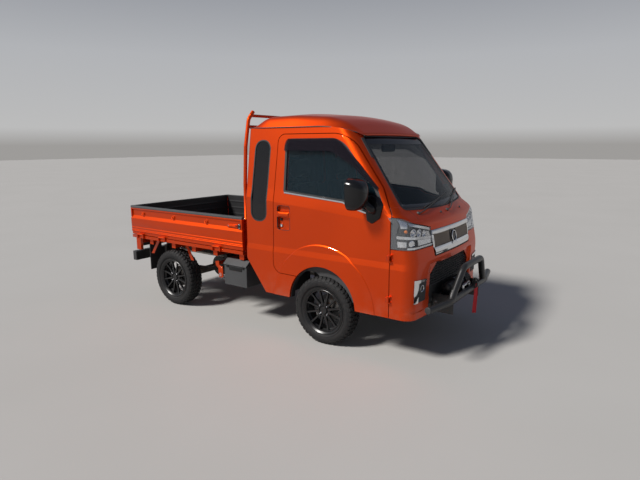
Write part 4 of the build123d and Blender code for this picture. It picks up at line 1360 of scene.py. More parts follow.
def mesh_wires():
    """Grille mesh: two sets of slanted wires that follow the nose, one just behind the other."""
    height = MESH_Z[1] - MESH_Z[0]
    wires = []
    for lean, out in ((1, -9.0), (-1, -11.5)):
        for y in np.arange(-MESH_HALF - height, MESH_HALF, MESH_PITCH):
            ends = np.clip([y, y + height], -MESH_HALF, MESH_HALF)
            if ends[1] - ends[0] < 4:
                continue
            places = np.linspace(*ends, 5)
            z = MESH_Z[0] + (places - y) if lean > 0 else MESH_Z[1] - (places - y)
            wires.append(swept(nose(places, z, out), circle(2.3, 4), X))
    return joined(*wires)


def emblem_ring():
    """Bright ring round a plain disc, with no mark on it."""
    turn = np.linspace(0, 2 * pi, 40, endpoint=False)
    line = nose(EMBLEM_R * np.cos(turn), EMBLEM_Z + EMBLEM_R * np.sin(turn), 6)
    return swept(line, circle(5.0, 8), X, True)


def emblem_disc():
    """Dark crowned disc inside the ring."""
    r, turn = np.meshgrid(np.linspace(0.02, 1, 6), np.linspace(0, 2 * pi, 41), indexing="ij")
    y, z = EMBLEM_R * r * np.cos(turn), EMBLEM_Z + EMBLEM_R * r * np.sin(turn)
    return shell(nose(y, z, 1 + 4 * (1 - r ** 2)), nose(y, z, -14))


def grille_frame():
    """Black frame behind the bars and the mesh, with the slots by the emblem and under the lower bar."""
    back = laid(nose_grid(384, 398, 802, 1002, 40, 10), -17, 10)
    gaps = [laid(between([(side * 52, 872), (side * 66, 872)], [(side * 52, 964), (side * 66, 964)], 3, 6), -4, 8)
            for side, _ in SIDES]
    slot = laid(nose_grid(366, 368, 803, 810, 30, 3), -2, 12)
    return joined(back, slot, *gaps)


made("grille_frame", grille_frame(), TRIM, replaces=("grille",))
made("grille_chrome", grille_chrome(), CHROME, smooth=50)
made("grille_mesh", mesh_wires(), BRONZE)
made("emblem_ring", emblem_ring(), CHROME, smooth=60)
made("emblem_disc", emblem_disc(), BLACK, smooth=60)


# Fog lamps and the intake below the grille


def fog_edge(z):
    """Places across the nose where a fog lamp's frame ends at a height, towards the middle and towards the side."""
    return np.interp(z, [480, 652], [524, 515]), np.interp(z, [476, 664], [680, 684])


# The top of a fog lamp's frame rises by this towards its outer end
FOG_RISE = 14


def fog_grid(low, high, near, far, count=12):
    """Grid in a fog lamp's frame between two heights.

    Near and far are shares of the way from its inner to its outer end.
    """
    z = np.linspace(low, high, count)[:, None]
    share = np.linspace(near, far, 8)[None]
    inner, outer = fog_edge(z)
    y = inner + (outer - inner) * share
    return point(y, z + (share - 0.2) * FOG_RISE * (z - low) / (high - low))


def fog_back(side):
    """Black housing of a fog lamp, with a lip that lies on the bumper."""
    return laid(fog_grid(482, 652, 0, 1), 2, 26, side)


def fog_chrome(side):
    """Bright C over the top and down the outer side of a fog lamp."""
    return joined(*(laid(grid, 7, 8, side) for grid in (fog_grid(634, 652, 0, 1, 4), fog_grid(482, 640, 0.70, 1))))


def fog_lens(side):
    """Lamp in the black housing."""
    return standing([(-6, 0), (-6, 26), (2, 26), (3, 24), (-1, 20), (-4, 0)], nose, (side * 578, 584), 2)


made("fog_lamp_housings", both(fog_back), TRIM, replaces=("fog_lamps",))
made("fog_lamp_chrome", both(fog_chrome), CHROME)
made("fog_lamp_lenses", both(fog_lens), REFLECTOR)


def intake_mesh():
    """Black slats and uprights of the lower intake, set back into its opening."""
    slats = []
    for z in range(560, 740, 22):
        half = np.interp(z, [250, 640, 745], [480, 440, 300]) - 8
        slats.append(swept(nose(np.linspace(-half, half, 21), z, -34), circle(6, 6, 0.6)))
    for y in range(-390, 400, 60):
        z = np.linspace(545, np.interp(abs(y), [300, 440], [742, 645]) - 4, 8)
        slats.append(tube(nose(np.full(8, float(y)), z, -36), 3, 6, X))
    return joined(*slats)


made("intake_slats", intake_mesh(), TRIM)
made("intake_back", laid(nose_grid(470, 300, 400, 742, 24, 8), -46, 4), TRIM)


# Doors: seals, visors, mouldings, locks and cards. Places on a side of the cab
# are x and z, and on_flank() lays them there

WINDOW = ringed(rounded(
    [(-401, 1262), (-412, 1698), (130, 1698), (470, 1335), (545, 1195), (412, 1146), (267, 1181), (199, 1215)],
    {0: 14, 1: 60, 2: 230, 4: 20}, 12), 130)
QUARTER = ringed(rounded([(-776, 990), (-590, 990), (-577, 1695), (-756, 1695)], 80, 8), 100)
BELT = [(-398, 1252), (197, 1205), (262, 1172), (404, 1138)]
LOCK = (-437, 972)
BUTTON = (-439, 1024)
RECESS_OUT = -22
HANDLE = ((-464, 1049), (-338, 1049), (-464, 1092), (-338, 1092))


def seals(side):
    """Black frame round the door's window, laid into its edge."""
    return bordered(WINDOW, 7, 14, flank(side), 1.5, 15)


def belt(side):
    """Bright moulding along the foot of the window."""
    lower = np.array(BELT, float)
    return clad(between(lower, lower + (0, 11), 30, 4), 5.0, 10, side)


def visor(side):
    """Smoked visor over the window: it stands out from the door along its free edge."""
    outer = rounded([(-426, 1660), (-410, 1704), (105, 1706), (320, 1512), (490, 1330)],
                    {"path": True, "all": 150, 1: 30}, 10)
    free = rounded([(-426, 1606), (60, 1604), (262, 1500), (478, 1328)], {"path": True, "all": 150}, 10)
    grid = between(free, outer, 40, 7)
    lift = np.linspace(26, 3, 7)[:, None] * np.clip((grid[..., 0] + 430) / 40, 0.3, 1)
    return clad(grid, lift, 3, side)


def lock(side):
    """Key lock in its ring under the handle."""
    profile = [(-4, 0), (-4, 13), (6, 13), (9, 10), (8, 7), (5, 6.5), (5.5, 0)]
    return standing(profile, flank(side), LOCK, RECESS_OUT, 24)


def button(side):
    """Dark round button between the flap and the lock."""
    return standing([(-4, 0), (-4, 12), (6, 12), (8, 9.5), (9, 0)], flank(side), BUTTON, RECESS_OUT, 24)


def handle_flap(side):
    """Pull flap of the handle: its face is crowned between its two long edges and turned in at all of them."""
    u, v = np.linspace(-1, 1, 25), np.linspace(-1, 1, 15)
    grid = between(HANDLE[:2], HANDLE[2:], 25, 15)
    lift = 3 + 9 * (1 - abs(v)[:, None] ** 3) * (1 - abs(u)[None] ** 8)
    return slab(grid, flank(side), lift, -12)


def handle_shadow_line(side):
    """Thin black line round the handle's recess: a painted shadow along its edge."""
    recess = ringed(oblong((-470, -332), (936, 1144), 20), 48)
    return bordered(recess, 0.8, 1.6, flank(side), 0.3, 12)


# How far in from the cab's form the door's card lies
CARD_OUT = -54


def card(side):
    """Moulded lining on the inside of a door, with its armrest, speaker, pull and window crank."""
    lining = clad(between([(-450, 600), (-80, 600), (20, 470), (90, 400), (560, 400)],
                          [(-468, 1228), (190, 1180), (400, 1122), (560, 1110)], 26, 10), CARD_OUT + 3.5, 4, side)
    rest = swept(on_flank(np.linspace(-300, 160, 14), np.full(14, 985.0), side, CARD_OUT - 18),
                 circle(30, 12, 0.7) * (0.9, 1))
    speaker = lathe([(0, 0), (0, 78), (-5, 78), (-8, 72), (-4, 66), (-6, 30), (-9, 0)],
                    on_flank(390, 640, side, CARD_OUT), (0, side, 0), 36)
    pull = tube(on_flank([-40, -20, 60, 80], [1040, 1056, 1056, 1040], side,
                         CARD_OUT - np.array([0, 20, 20, 0])), 9, 8)
    crank = lathe([(0, 0), (0, 22), (-10, 20), (-12, 12), (-26, 11), (-28, 0)],
                  on_flank(150, 1060, side, CARD_OUT), (0, side, 0), 20)
    return joined(lining, rest, speaker, pull, crank)


fitted("door", (("window_seal", seals, SEAL, 32), ("belt", belt, CHROME, 32), ("visor", visor, SMOKE, 60),
                ("lock", lock, BRIGHT, 32), ("button", button, BLACK, 32), ("handle", handle_flap, PAINT, 60),
                ("recess_shadow_line", handle_shadow_line, SEAL, 32), ("card", card, CABIN, 32)))


# Mirrors on the doors

MIRROR = np.array([351, 850, 1295])
MIRROR_DEEP = 128
MIRROR_HALF = (102, 118)
SAIL = [(420, 1084), (464, 1064), (528, 1112), (546, 1214), (508, 1268), (432, 1286), (408, 1240), (404, 1150)]


def mirror_head(side):
    """Mirror head: a rounded oblong, a little narrower at its foot, that closes towards its front.

    It is as wide as the 2.3rd root of one less the cube of the way to its front, and sinks a little on it.
    """
    width, height = MIRROR_HALF
    outline = oblong((-width, width), (-height, height), 62, 8)
    outline[:, 0] *= 1 - 0.10 * np.clip(-outline[:, 1] / height, 0, 1)
    t = np.array([0, 0.015, 0.05, 0.15, 0.3, 0.45, 0.6, 0.72, 0.82, 0.9, 0.95, 0.98, 0.995])[:, None]
    scale = np.where(t < 0.01, 0.955, (1 - t ** 3.0) ** (1 / 2.3))
    y, z = MIRROR[1] + outline[:, 0] * scale, MIRROR[2] + outline[:, 1] * scale - 10 * t
    return rings(point(MIRROR[0] + MIRROR_DEEP * t, side * y, z))


def mirror_stay(side):
    """Sail on the door and the arm from it to the head, an oval section that thins on the way."""
    outline = ringed(rounded(SAIL, 26, 5), 64)
    middle = outline.mean(0)
    rows = [on_flank(*(middle + (outline - middle) * scale).T, side, out)
            for scale, out in ((1.0, -3), (1.0, 6), (0.965, 11), (0.88, 15), (0.6, 19), (0.05, 20))]
    arm = path([(478, side * 730, 1168), (468, side * 768, 1188),
                (440, side * 800, 1226), (424, side * 838, 1262)], 40)
    size = np.linspace(1.15, 0.85, len(arm))[:, None, None]
    return joined(rings(np.array(rows)), swept(arm, circle(30, 16, 0.72) * size, X))


def mirror_glass(side):
    """Mirror glass, let into the back of the head."""
    outline = oblong((-88, 88), (-104, 104), 52, 8) + (side * MIRROR[1], MIRROR[2])
    return plate(outline, MIRROR[0] - 1.5, MIRROR[0] + 2, "yz", 0.8)


for side, name in SIDES:
    node = f"mirror_{name}"
    door = rides_with(node)
    made(f"{node}_head", mirror_head(side), BLACK, door, 60, (node,))
    made(f"{node}_stay", mirror_stay(side), BLACK, door, 50)
    made(f"{node}_glass", mirror_glass(side), REFLECTOR, door)


# Cab openings: screen border, quarter and rear window seals, arch lips whose black also paints the shade in the
# arches

SCREEN_Z = (1178, 1713)
SCREEN_HALF = (600, 524)
SCREEN_DIP = 22


def screen_side(z):
    """Half width of the windscreen at a height."""
    return np.interp(z, SCREEN_Z, SCREEN_HALF)


foot_y = np.linspace(-SCREEN_HALF[0], SCREEN_HALF[0], 31)
SCREEN_EDGE = ringed(rounded(
    [*zip(foot_y, SCREEN_Z[0] - SCREEN_DIP * (1 - (foot_y / SCREEN_HALF[0]) ** 2)),
     (SCREEN_HALF[1], SCREEN_Z[1]), (-SCREEN_HALF[1], SCREEN_Z[1])], {0: 40, 30: 40, 31: 40, 32: 40}, 6), 170)


def screen_border():
    """Black border printed round the windscreen, deeper at its top, and the rubber outside it."""
    printed = bordered(SCREEN_EDGE, 1, 30, nose, -3.0, 3)
    top = laid(nose_grid(530, 522, 1655, 1709, 40, 6), -3.2, 2)
    return joined(printed, top)


def pillar_strip(side):
    """Short black cover on the pillar beside the top of the windscreen."""
    z = np.array([1556, 1705])
    inner, outer = (point(side * (screen_side(z) + past), z) for past in (8, 36))
    return slab(between(inner, outer, 8, 4), nose, 4.0, -6.0)


REAR_WINDOW = ringed(rounded([(-500, 1250), (500, 1250), (470, 1640), (-470, 1640)], 50, 6), 100)


def rear_seal():
    """Rubber round the rear window."""
    return bordered(REAR_WINDOW, 9, 13, lambda y, z, out: point(CAB_REAR - out, y, z), 3.0, 16)


def arch_lip(side):
    """Dark return round the inside of the wheel arch, black so that it also paints the shade inside the arch."""
    turn = np.radians(np.linspace(3, 177, 61))[:, None]
    r, y = np.array([(330.5, 672), (330.5, 715), (326, 717), (322, 716), (320, 672)]).T
    return rings(point(ARCH[0] + r * np.cos(turn), side * y, ARCH[1] + r * np.sin(turn)))


def hood_seam(side):
    """Seam at one end of the lid under the windscreen."""
    low, high = (np.array([(side * 521, z), (side * 524, z)]) for z in (1100, 1168))
    return laid(between(low, high, 2, 8), 0.8, 4)


made("screen_border", screen_border(), BLACK, smooth=60)
made("screen_seal", bordered(SCREEN_EDGE, 10, 0, nose, 1.5, 10), SEAL)
made("pillar_covers", both(pillar_strip), TRIM)
made("quarter_seals", both(lambda side: bordered(QUARTER, 1, 10, flank(side), 0.5, 10)), SEAL)
made("rear_window_seal", rear_seal(), SEAL)
made("arch_return_shades", both(arch_lip), SEAL)
made("hood_seams", both(hood_seam), SEAL)


# Wipers, washer jets and the mirror inside


def wiper(base, elbow, ends):
    """Arm from its boss to the middle of a blade that lies along the glass."""
    knee = (base[0] * 0.8 + elbow[0] * 0.2, base[1] + 14)
    line = nose(*np.array([base, knee, elbow], float).T, [10, 26, 16])
    arm = tube(path(line, 12), 5, 8, X)
    y, z = np.linspace(*ends, 12).T
    spine = tube(nose(y, z, 8), 5, 6, X)
    lip = tube(nose(y, z, 1), 2.2, 4, X)
    boss = standing([(0, 0), (0, 15), (12, 14), (18, 10), (20, 0)], nose, base, -4, 16)
    return joined(arm, spine, lip, boss)


def jet(y, z):
    """Washer jet: a low dome with its foot."""
    return standing([(0, 0), (0, 12), (3, 12), (8, 9), (11, 4), (12, 0)], nose, (y, z), -1, 16)


made("wipers", joined(wiper((-455, 1134), (-60, 1196), ((-300, 1168), (240, 1234))),
                      wiper((12, 1118), (370, 1194), ((100, 1152), (640, 1246)))), TRIM)
made("washer_jets", joined(jet(-130, 1114), jet(310, 1110)), TRIM)


def inner_mirror():
    """Rear-view mirror on its stalk from the header."""
    outline = rounded([(-112, 1590), (112, 1590), (118, 1622), (112, 1652), (-112, 1652), (-118, 1622)], 18, 4)
    glass = plate(outline, 196, 216, "yz", 6)
    stalk = tube(path([(214, 0, 1640), (240, 0, 1668), (236, 0, 1712)], 12), 7, 8, Y)
    return joined(glass, stalk)


def grab_handle(side):
    """Handle on the pillar inside."""
    line = [(262, side * 545, 1630), (285, side * 520, 1600), (420, side * 560, 1400), (432, side * 596, 1392)]
    return tube(path(line, 22), 11, 10)


def sun_blind(side):
    """Sun blind under the header."""
    outline = rounded([(60, side * 120), (200, side * 120), (190, side * 470), (60, side * 480)], 25, 4)
    return plate(outline, 1694, 1708, "xy", 6)


made("inner_mirror", inner_mirror(), CABIN)
made("grab_handles", joined(both(grab_handle), both(sun_blind)), CABIN)


# Bed: linings, hooks, latches and the hardware of its gates

FLOOR_Z = 700
GATE_TOP_Z = 985
GATE_IN = 705
# A side gate's channel: its floor and its mouth across the truck, its foot and its top
CHANNEL_Y = (720, 736)
CHANNEL_Z = (888, 984)
RAIL_Z = (971, 984.5)
HOOKS = (-2339, -1846, -1359)
LINING_FOOT = 706
LINING_BEADS = (770, 850, 930)
LINING_LIFT = 2.5
BEAD_HEIGHT = 3.0
BEAD_HALF = 9.0
MAT_PITCH = 34.0
MAT_HALF = 694.0


def bed_mat():
    """Mat over the bed's floor: its height is a flattened wave across it, a rib to each turn of the wave."""
    y = np.linspace(-MAT_HALF, MAT_HALF, int(2 * MAT_HALF / MAT_PITCH) * 8 + 1)
    top = FLOOR_Z + 4.5 + 2.0 * np.clip(1.8 * np.cos(2 * pi * y / MAT_PITCH), -1, 1)
    x = np.linspace(-2500, -912, 5)
    grid = point(x[:, None], y, top)
    return shell(grid, grid * (1, 1, 0) + (0, 0, FLOOR_Z + 0.5))


def beaded(along, high):
    """Grid for a lining: places along it, its heights, and its depth, a bell at the height of each bead."""
    z = np.linspace(LINING_FOOT, high, 60)
    bead = sum(np.exp(-((z - middle) / BEAD_HALF) ** 2) for middle in LINING_BEADS)
    return along[:, None], z, BEAD_HEIGHT * bead


def side_lining(side):
    """Sheet on the inside of a side gate."""
    x, z, bead = beaded(np.linspace(-2506, -909, 6), GATE_TOP_Z + 18)
    face = point(x, side * (GATE_IN - LINING_LIFT - bead), z)
    return shell(face, face * (1, 0, 1) + (0, side * (GATE_IN - 0.5), 0))


def cross_lining(x_face, toward, half, high):
    """Sheet on a wall across the bed, its beads pressed towards the bed."""
    y, z, bead = beaded(np.linspace(-half, half, 6), high)
    face = point(x_face + toward * (LINING_LIFT + bead), y, z)
    return shell(face, face * (0, 1, 1) + (x_face + toward * 0.5, 0, 0))


def rope_hook(x, side):
    """Bent bar on a foot in the channel of a side gate."""
    foot = plate(oblong(about(x, 20), (924, 950), 5, 3), side * 721, side * 725)
    bar_line = path([(x - 13, side * 724, 940), (x - 13, side * 735, 914),
                     (x + 13, side * 735, 914), (x + 13, side * 724, 940)], 9, 4)
    return joined(foot, tube(bar_line, 4.2, 8, Y))


def gate_ends(side):
    """Posts that close the channel of a side gate at its two ends, the rail along its top, and its hooks."""
    low, high = CHANNEL_Y
    posts = [brick(about(x, 8), (side * low, side * (high + 0.5)), CHANNEL_Z, 2.5)
             for x in (TAIL + 9, BED_FRONT - 10)]
    rail = brick((TAIL + 2, BED_FRONT - 3), (side * low, side * high), RAIL_Z, 2)
    return joined(*posts, rail, *(rope_hook(x, side) for x in HOOKS))


def latch_lever(side):
    """Painted lever of a side gate's latch, with a rib along its middle."""
    outline = rounded([(-1070, 904), (-948, 900), (-936, 914), (-940, 936), (-1060, 934), (-1076, 922)], 8, 4)
    lever = plate(outline, side * 723, side * 735, edge=4)
    rib = tube([(-1052, side * 735, 918), (-1000, side * 737, 919), (-956, side * 735, 919)], 6, 8, Y)
    return joined(lever, rib)


def latch_iron(side):
    """Black catch of the latch with its striker loop."""
    outline = rounded([(-934, 896), (-902, 896), (-902, 944), (-926, 944)], 6, 3)
    loop = path([(-960, side * 737, 926), (-924, side * 741, 932), (-898, side * 741, 932),
                 (-896, side * 736, 918), (-922, side * 738, 910)], 6, 4)
    return joined(plate(outline, side * 722, side * 738, edge=3), tube(loop, 3.4, 8, Y))


def latch_bolts(side):
    """Plated bolts of the latch."""
    spots = ((-912, 904), (-912, 936), (-1048, 919))
    return joined(*(bolt((x, side * 737, z), (0, side, 0), 4.5, 4) for x, z in spots))


def tail_latch(side):
    """Lever at an end of the tail gate, on its foot in the channel."""
    outline = rounded([(side * 600, 904), (side * 690, 900), (side * 694, 934), (side * 606, 932)], 7, 4)
    lever = tube([(TAIL + 2, side * 616, 918), (TAIL - 2, side * 650, 918), (TAIL + 2, side * 682, 918)],
                 5, 8, X)
    return joined(plate(outline, TAIL + 15, TAIL + 2, "yz", 4), lever)


def tail_rail():
    """Rail along the top of the tail gate's channel, and the posts at its ends."""
    posts = [brick((TAIL + 0.5, TAIL + 16), about(y, 7), CHANNEL_Z, 2.5) for y in (-690, 690)]
    return joined(brick((TAIL + 1, TAIL + 16), (-696, 696), RAIL_Z, 2), *posts)


def splash_guard(side):
    """Rubber guard behind a front wheel, from the cab's side to the frame rail."""
    outline = rounded([(side * 342, 352), (side * 680, 372), (side * 680, 600), (side * 342, 600)], 14, 4)
    return plate(outline, -404, -400, "yz", 1.5)


def bed_bearer(side):
    """Bearer that lies along the frame rail under the bed's cross members."""
    return brick((-2480, -930), (side * 286, side * 334), (598, 654), 4)


def tow_bracket():
    """Cranked plate with an eye below the sill by the tool box, on an arm from the frame rail."""
    outline = rounded([(-1384, 512), (-1334, 522), (-1328, 474), (-1282, 462), (-1280, 366),
                       (-1300, 352), (-1340, 356), (-1346, 446), (-1378, 470)], 6, 3)
    arm = brick((-1378, -1338), (-600, -336), (478, 506), 4)
    return joined(plate(outline, -610, -600, edge=2.5), arm)


def tow_eye():
    """Bush in the tow bracket's eye."""
    return lathe([(-3, 9), (-3, 17), (3, 17), (3, 9)], (-1316, -611, 384), (0, -1, 0), 24, ring=True)


# The bed's linings and mat take the near-black liner, which also paints the shade inside the bed
fitted("side_gate", (("lining", side_lining, LINER_AND_SHADE, 50), ("ends", gate_ends, PAINT, 32),
                     ("lever", latch_lever, PAINT, 32), ("catch", latch_iron, STEEL, 32),
                     ("bolts", latch_bolts, BRIGHT, 32)))
made("bed_mat", bed_mat(), LINER_AND_SHADE, smooth=50)
made("guard_lining", cross_lining(-908, -1, 697, GATE_TOP_Z - 4), LINER_AND_SHADE, smooth=50)
made("tail_gate_lining", cross_lining(-2513, 1, 692, GATE_TOP_Z + 18), LINER_AND_SHADE, rides_with("tail_gate"), 50)
made("tail_gate_latches", both(tail_latch), PAINT, rides_with("tail_gate"))
made("tail_gate_rail", tail_rail(), PAINT, rides_with("tail_gate"))
made("splash_guards", both(splash_guard), SEAL)
made("bed_bearers", both(bed_bearer), FRAME)
made("tow_bracket", tow_bracket(), PAINT)
made("tow_eye", tow_eye(), BRIGHT)


def sill_bolts(side):
    """Bolts along a sill rail."""
    return joined(*(bolt((x, side * 734.5, 676), (0, side, 0), 4.2, 3) for x in np.linspace(-2460, -960, 9)))


made("sill_bolts", both(sill_bolts), PAINT)


# Tool box: a plain latch plate between two hasps, and the bolts of its feet

made("tool_box_latch", joined(
    plate(oblong((-1070, -905), (492, 528), 5, 3), -731, -726, edge=1.5),
    *(plate(oblong(about(x, 13), (518, 552), 4, 3), -735, -728, edge=2) for x in (-1090, -888))),
    BLACK, rides_with("tool_box"))
made("tool_box_feet", joined(*(bolt((x, -420, 525), Z, 7, 5) for x in (-1070, -930))), BRIGHT)


# Rear lamps, blank plate and the beam's fittings

# Segments of a rear lamp: its two places across the truck, its name and finish
LAMP_ROWS = ((478, 556, "red", RED), (560, 618, "amber", AMBER_REAR), (622, 684, "clear", REFLECTOR))
LENS_FACE = -2535
LENS_CROWN = 5.0
FLUTE_DEPTH = 0.7
FLUTE_PITCH = 7.5


def raised_frame(y, z, x_face):
    """Raised frame on a face at the rear, round a rectangle."""
    outline = ringed(oblong(y, z, 9, 4), 60)
    step = inward(outline)
    return looped([point(x_face + out, *(outline + step * inset).T)
                   for inset, out in ((0, 8), (0, -3), (5, -5), (7, 2))])


def lamp_block(side):
    """Black housing of a rear lamp: a deep tray with a lip."""
    tray = brick((-2532, -2496), (side * 472, side * 688), (548, 652), 7)
    return joined(tray, raised_frame((side * 470, side * 690), (546, 654), -2533))


def rear_lens(y_low, y_high):
    """Segments of the two rear lamps between two places, pressed into upright flutes and crowned at their edges."""
    y, z = np.linspace(y_low, y_high, 41), np.linspace(555, 645, 21)
    u, v = np.linspace(-1, 1, 41), np.linspace(-1, 1, 21)
    crown = 1 - np.maximum(abs(u)[:, None], abs(v)[None]) ** 8
    flute = FLUTE_DEPTH * np.cos(y * 2 * pi / FLUTE_PITCH)[:, None]
    depth = LENS_FACE - LENS_CROWN * crown - flute * crown

    def one(side):
        grid = point(depth, side * y[:, None], z)
        return shell(grid, grid * (0, 1, 1) + (LENS_FACE + 2, 0, 0))
    return both(one)


made("rear_lamp_housings", both(lamp_block), TRIM, replaces=("rear_lamps",))
for low, high, name, finish in LAMP_ROWS:
    made(f"rear_lamp_{name}", rear_lens(low, high), finish, smooth=50)

made("rear_plate", joined(plate(oblong((-165, 165), (494, 654), 10, 4), -2551, -2548.5, "yz", 0.8),
                          raised_frame((-163, 163), (496, 652), -2549)), PLATE)
made("rear_plate_bracket", joined(
    plate(oblong((-140, 140), (500, 656), 8, 3), -2548.4, -2543, "yz", 1.5),
    brick((-2548, -2500), (-30, 30), (500, 512)), brick((-2560, -2530), (-44, 44), (658, 676), 5)), STEEL)
made("rear_plate_bolts", joined(*(bolt((-2551, y, 630), (-1, 0, 0), 5, 3) for y in (-105, 105))), BRIGHT)


def beam_ends(side):
    """Cap let into an end of the rear beam, and the step tread on its top."""
    cap = plate(oblong((-2546, -2494), (408, 497), 6, 3), side * 739, side * 743, edge=1.5)
    tread = [brick((-2544, -2496), about(side * y, 4), (502, 505), 1.5) for y in range(430, 720, 26)]
    return joined(cap, *tread)


made("rear_beam_caps", both(beam_ends), TRIM)


def flap_strip(side):
    """Steel strip and its bolts that clamp the top of a mud flap."""
    strip = brick((-2292, -2288), (side * 566, side * 706), (574, 592), 1.5)
    return joined(strip, *(bolt((-2292, side * y, 583), (-1, 0, 0), 4.5, 4) for y in (580, 636, 692)))


made("mud_flap_strips", both(flap_strip), BRIGHT)


# Winch, hook and strap on the bull bar

WINCH_X, WINCH_Z = 875, 505
ROPE_R = 4.6
ROPE_PITCH = 9.5
DRUM_R = 39
TIE_R = 44


def wound_rope():
    """Rope wound on the winch drum: the drum's radius swells in an arc of a circle at each turn of the rope."""
    profile = [(-76, 0), (-76, 36)]
    for y in np.arange(-71, 72, ROPE_PITCH):
        profile += [(y + ROPE_R * cos(t), DRUM_R + ROPE_R * sin(t)) for t in np.radians([150, 110, 70, 30])]
    return lathe(profile + [(76, 36), (76, 0)], (WINCH_X, 0, WINCH_Z), steps=40)


def winch_end(side):
    """Ribbed motor or gear case at an end of the winch."""
    profile = [(86, 0), (86, 44)]
    for y in range(100, 214, 16):
        profile += [(y, 50), (y + 7, 50), (y + 8, 46), (y + 15, 46)]
    profile += [(228, 46), (236, 34), (238, 0)]
    return lathe([(side * y, r) for y, r in profile], (WINCH_X, 0, WINCH_Z))


def tie_bars():
    """Bars that tie the winch's two cases together."""
    spots = [(WINCH_X + TIE_R * cos(t), WINCH_Z + TIE_R * sin(t)) for t in np.radians([50, 130])]
    return joined(*(tube([(x, -92, z), (x, 92, z)], 6, 10) for x, z in spots))


def roller(half, radius, centre, axis):
    """Roller with its ends stepped down."""
    profile = [(-half, 0), (-half, radius - 2), (4 - half, radius), (half - 4, radius), (half, radius - 2), (half, 0)]
    return lathe(profile, centre, axis, 20)


def fairlead():
    """Two upright and two level rollers in front of the drum, on their frame."""
    return joined(*(roller(38, 12, (958, y, 480), Z) for y in (-74, 74)),
                  *(roller(66, 11, (960, 0, z), Y) for z in (449, 511)))


def hook_hardware():
    """Clevis, forged hook with its tongue, and the pin that holds them in the bar's eye."""
    eye = rounded([(984, 100, 520), (1000, 100, 546), (1022, 100, 532), (1018, 100, 508), (996, 100, 498)], 9, 4)
    shank = path([(1014, 100, 520), (1022, 100, 500), (1026, 84, 484),
                  (1018, 76, 470), (1004, 82, 470), (1000, 92, 484)], 8, 4)
    pin = lathe([(-24, 0), (-24, 9), (-18, 9), (-18, 5.5), (20, 5.5), (20, 8), (24, 8), (24, 0)],
                (994, 100, 520), steps=16)
    return joined(tube(eye, 6.5, 10, Y, True), tube(shank, 6.5, 10, X), pin)


def bar_cap(side):
    """Round cap at an end of the bull bar."""
    knee, end = np.array([(980, side * 430, 462), (925, side * 705, 462)])
    return lathe([(-2, 0), (-2, 27.6), (4, 27.6), (8, 24), (9.5, 12), (10, 0)], end, end - knee, 28)


def bar_bolts(side):
    """Bolts at the hoop's feet and through the brackets."""
    spots = ((826, 360), (826, 420), (880, 390), (940, 452))
    return joined(bolt((980, side * 432, 487), (0.15, 0, 1), 8, 7),
                  *(bolt((x, side * 315.5, z), (0, side, 0), 8, 6) for x, z in spots))


def foot_gusset(side):
    """Plate that braces a foot of the hoop on the main bar."""
    corners = ((352, 470), (402, 470), (396, 500), (362, 548), (344, 560))
    return plate(rounded([(side * y, z) for y, z in corners], 4, 3), 972, 980, "yz", 2)


made("winch_rope", wound_rope(), ROPE, smooth=60)
made("winch_cases", both(winch_end), STEEL)
made("winch_ties", tie_bars(), BRIGHT)
made("winch_fairlead", fairlead(), BRIGHT)
made("winch_hook", hook_hardware(), STEEL)
made("bull_bar_caps", both(bar_cap), SEAL)
made("bull_bar_bolts", both(bar_bolts), NUT)
made("bull_bar_gussets", both(foot_gusset), STEEL)

STRAP_TOP, STRAP_FOOT = 507, 238
STRAP_Y = 100
STRAP_HALF = 16


def strap():
    """Pull strap: a ribbon that hangs from the hook, with a slight twist and a curl at its free end."""
    t = np.linspace(0, 1, 40)[:, None]
    z = STRAP_TOP + (STRAP_FOOT - STRAP_TOP) * t
    x = 1012 + 4 * np.sin(t * 5.0) * t
    turn = 0.55 + 0.5 * t
    w = np.linspace(-STRAP_HALF, STRAP_HALF, 9)
    face = point(x + w * np.sin(turn), STRAP_Y + w * np.cos(turn), z)
    return shell(face, face - (2.2, 0, 0))


red_strap = made("pull_strap", strap(), WEB, smooth=60, replaces=("winch_strap",))


# Seats: padded forms swollen by cloth pressure, then sewn channels pressed in


SEAT_Y = 340
VOXEL = 8.0
PRESSURE = 4.0
# Steps of the simulation, each a frame
CLOTH_FRAMES = 20


def vectors_of(mesh, kind="co"):
    """Places, or another vector, of a mesh's points as an array."""
    values = np.empty(len(mesh.vertices) * 3)
    mesh.vertices.foreach_get(kind, values)
    return values.reshape(-1, 3)


def evaluated(thing):
    """New mesh of an object as its modifiers leave it."""
    return bpy.data.meshes.new_from_object(thing.evaluated_get(bpy.context.evaluated_depsgraph_get()))


def under_pressure(thing):
    """Places of an object's points after cloth pressure has swollen it."""
    cloth = thing.modifiers.new("pressure", "CLOTH")
    cloth.settings.use_pressure, cloth.settings.uniform_pressure_force = True, PRESSURE
    cloth.settings.effector_weights.gravity = 0
    cloth.settings.quality = 4
    for number in range(1, CLOTH_FRAMES + 1):
        bpy.context.scene.frame_set(number)
    after = vectors_of(evaluated(thing))
    bpy.context.scene.frame_set(1)
    return after


def swollen(name, solid, cap):
    """Remeshed copy of a solid, and its points as cloth pressure swells it, none of them further than cap."""
    thing = placed(name, mesh_of(name, solid))
    even = thing.modifiers.new("even", "REMESH")
    even.mode, even.voxel_size = "VOXEL", VOXEL * MM
    mesh = evaluated(thing)
    thing.modifiers.clear()
    thing.data = mesh
    places = vectors_of(mesh)
    step = under_pressure(thing) - places
    size = np.linalg.norm(step, axis=1, keepdims=True)
    places = places + step * np.minimum(1, cap * MM / np.maximum(size, TINY))
    bpy.data.objects.remove(thing)
    return mesh, places


def facing(mesh, places):
    """Outward direction at each point of a mesh whose points stand at places."""
    mesh.vertices.foreach_set("co", places.ravel())
    mesh.update()
    return vectors_of(mesh, "normal")


# Half width of a sewn channel
SEAM_HALF = 7.0


def channel(distance, depth):
    """Depth of a sewn channel at a distance from its line: a narrow bell, deepest on the line."""
    return depth * np.exp(-(distance / SEAM_HALF) ** 2)


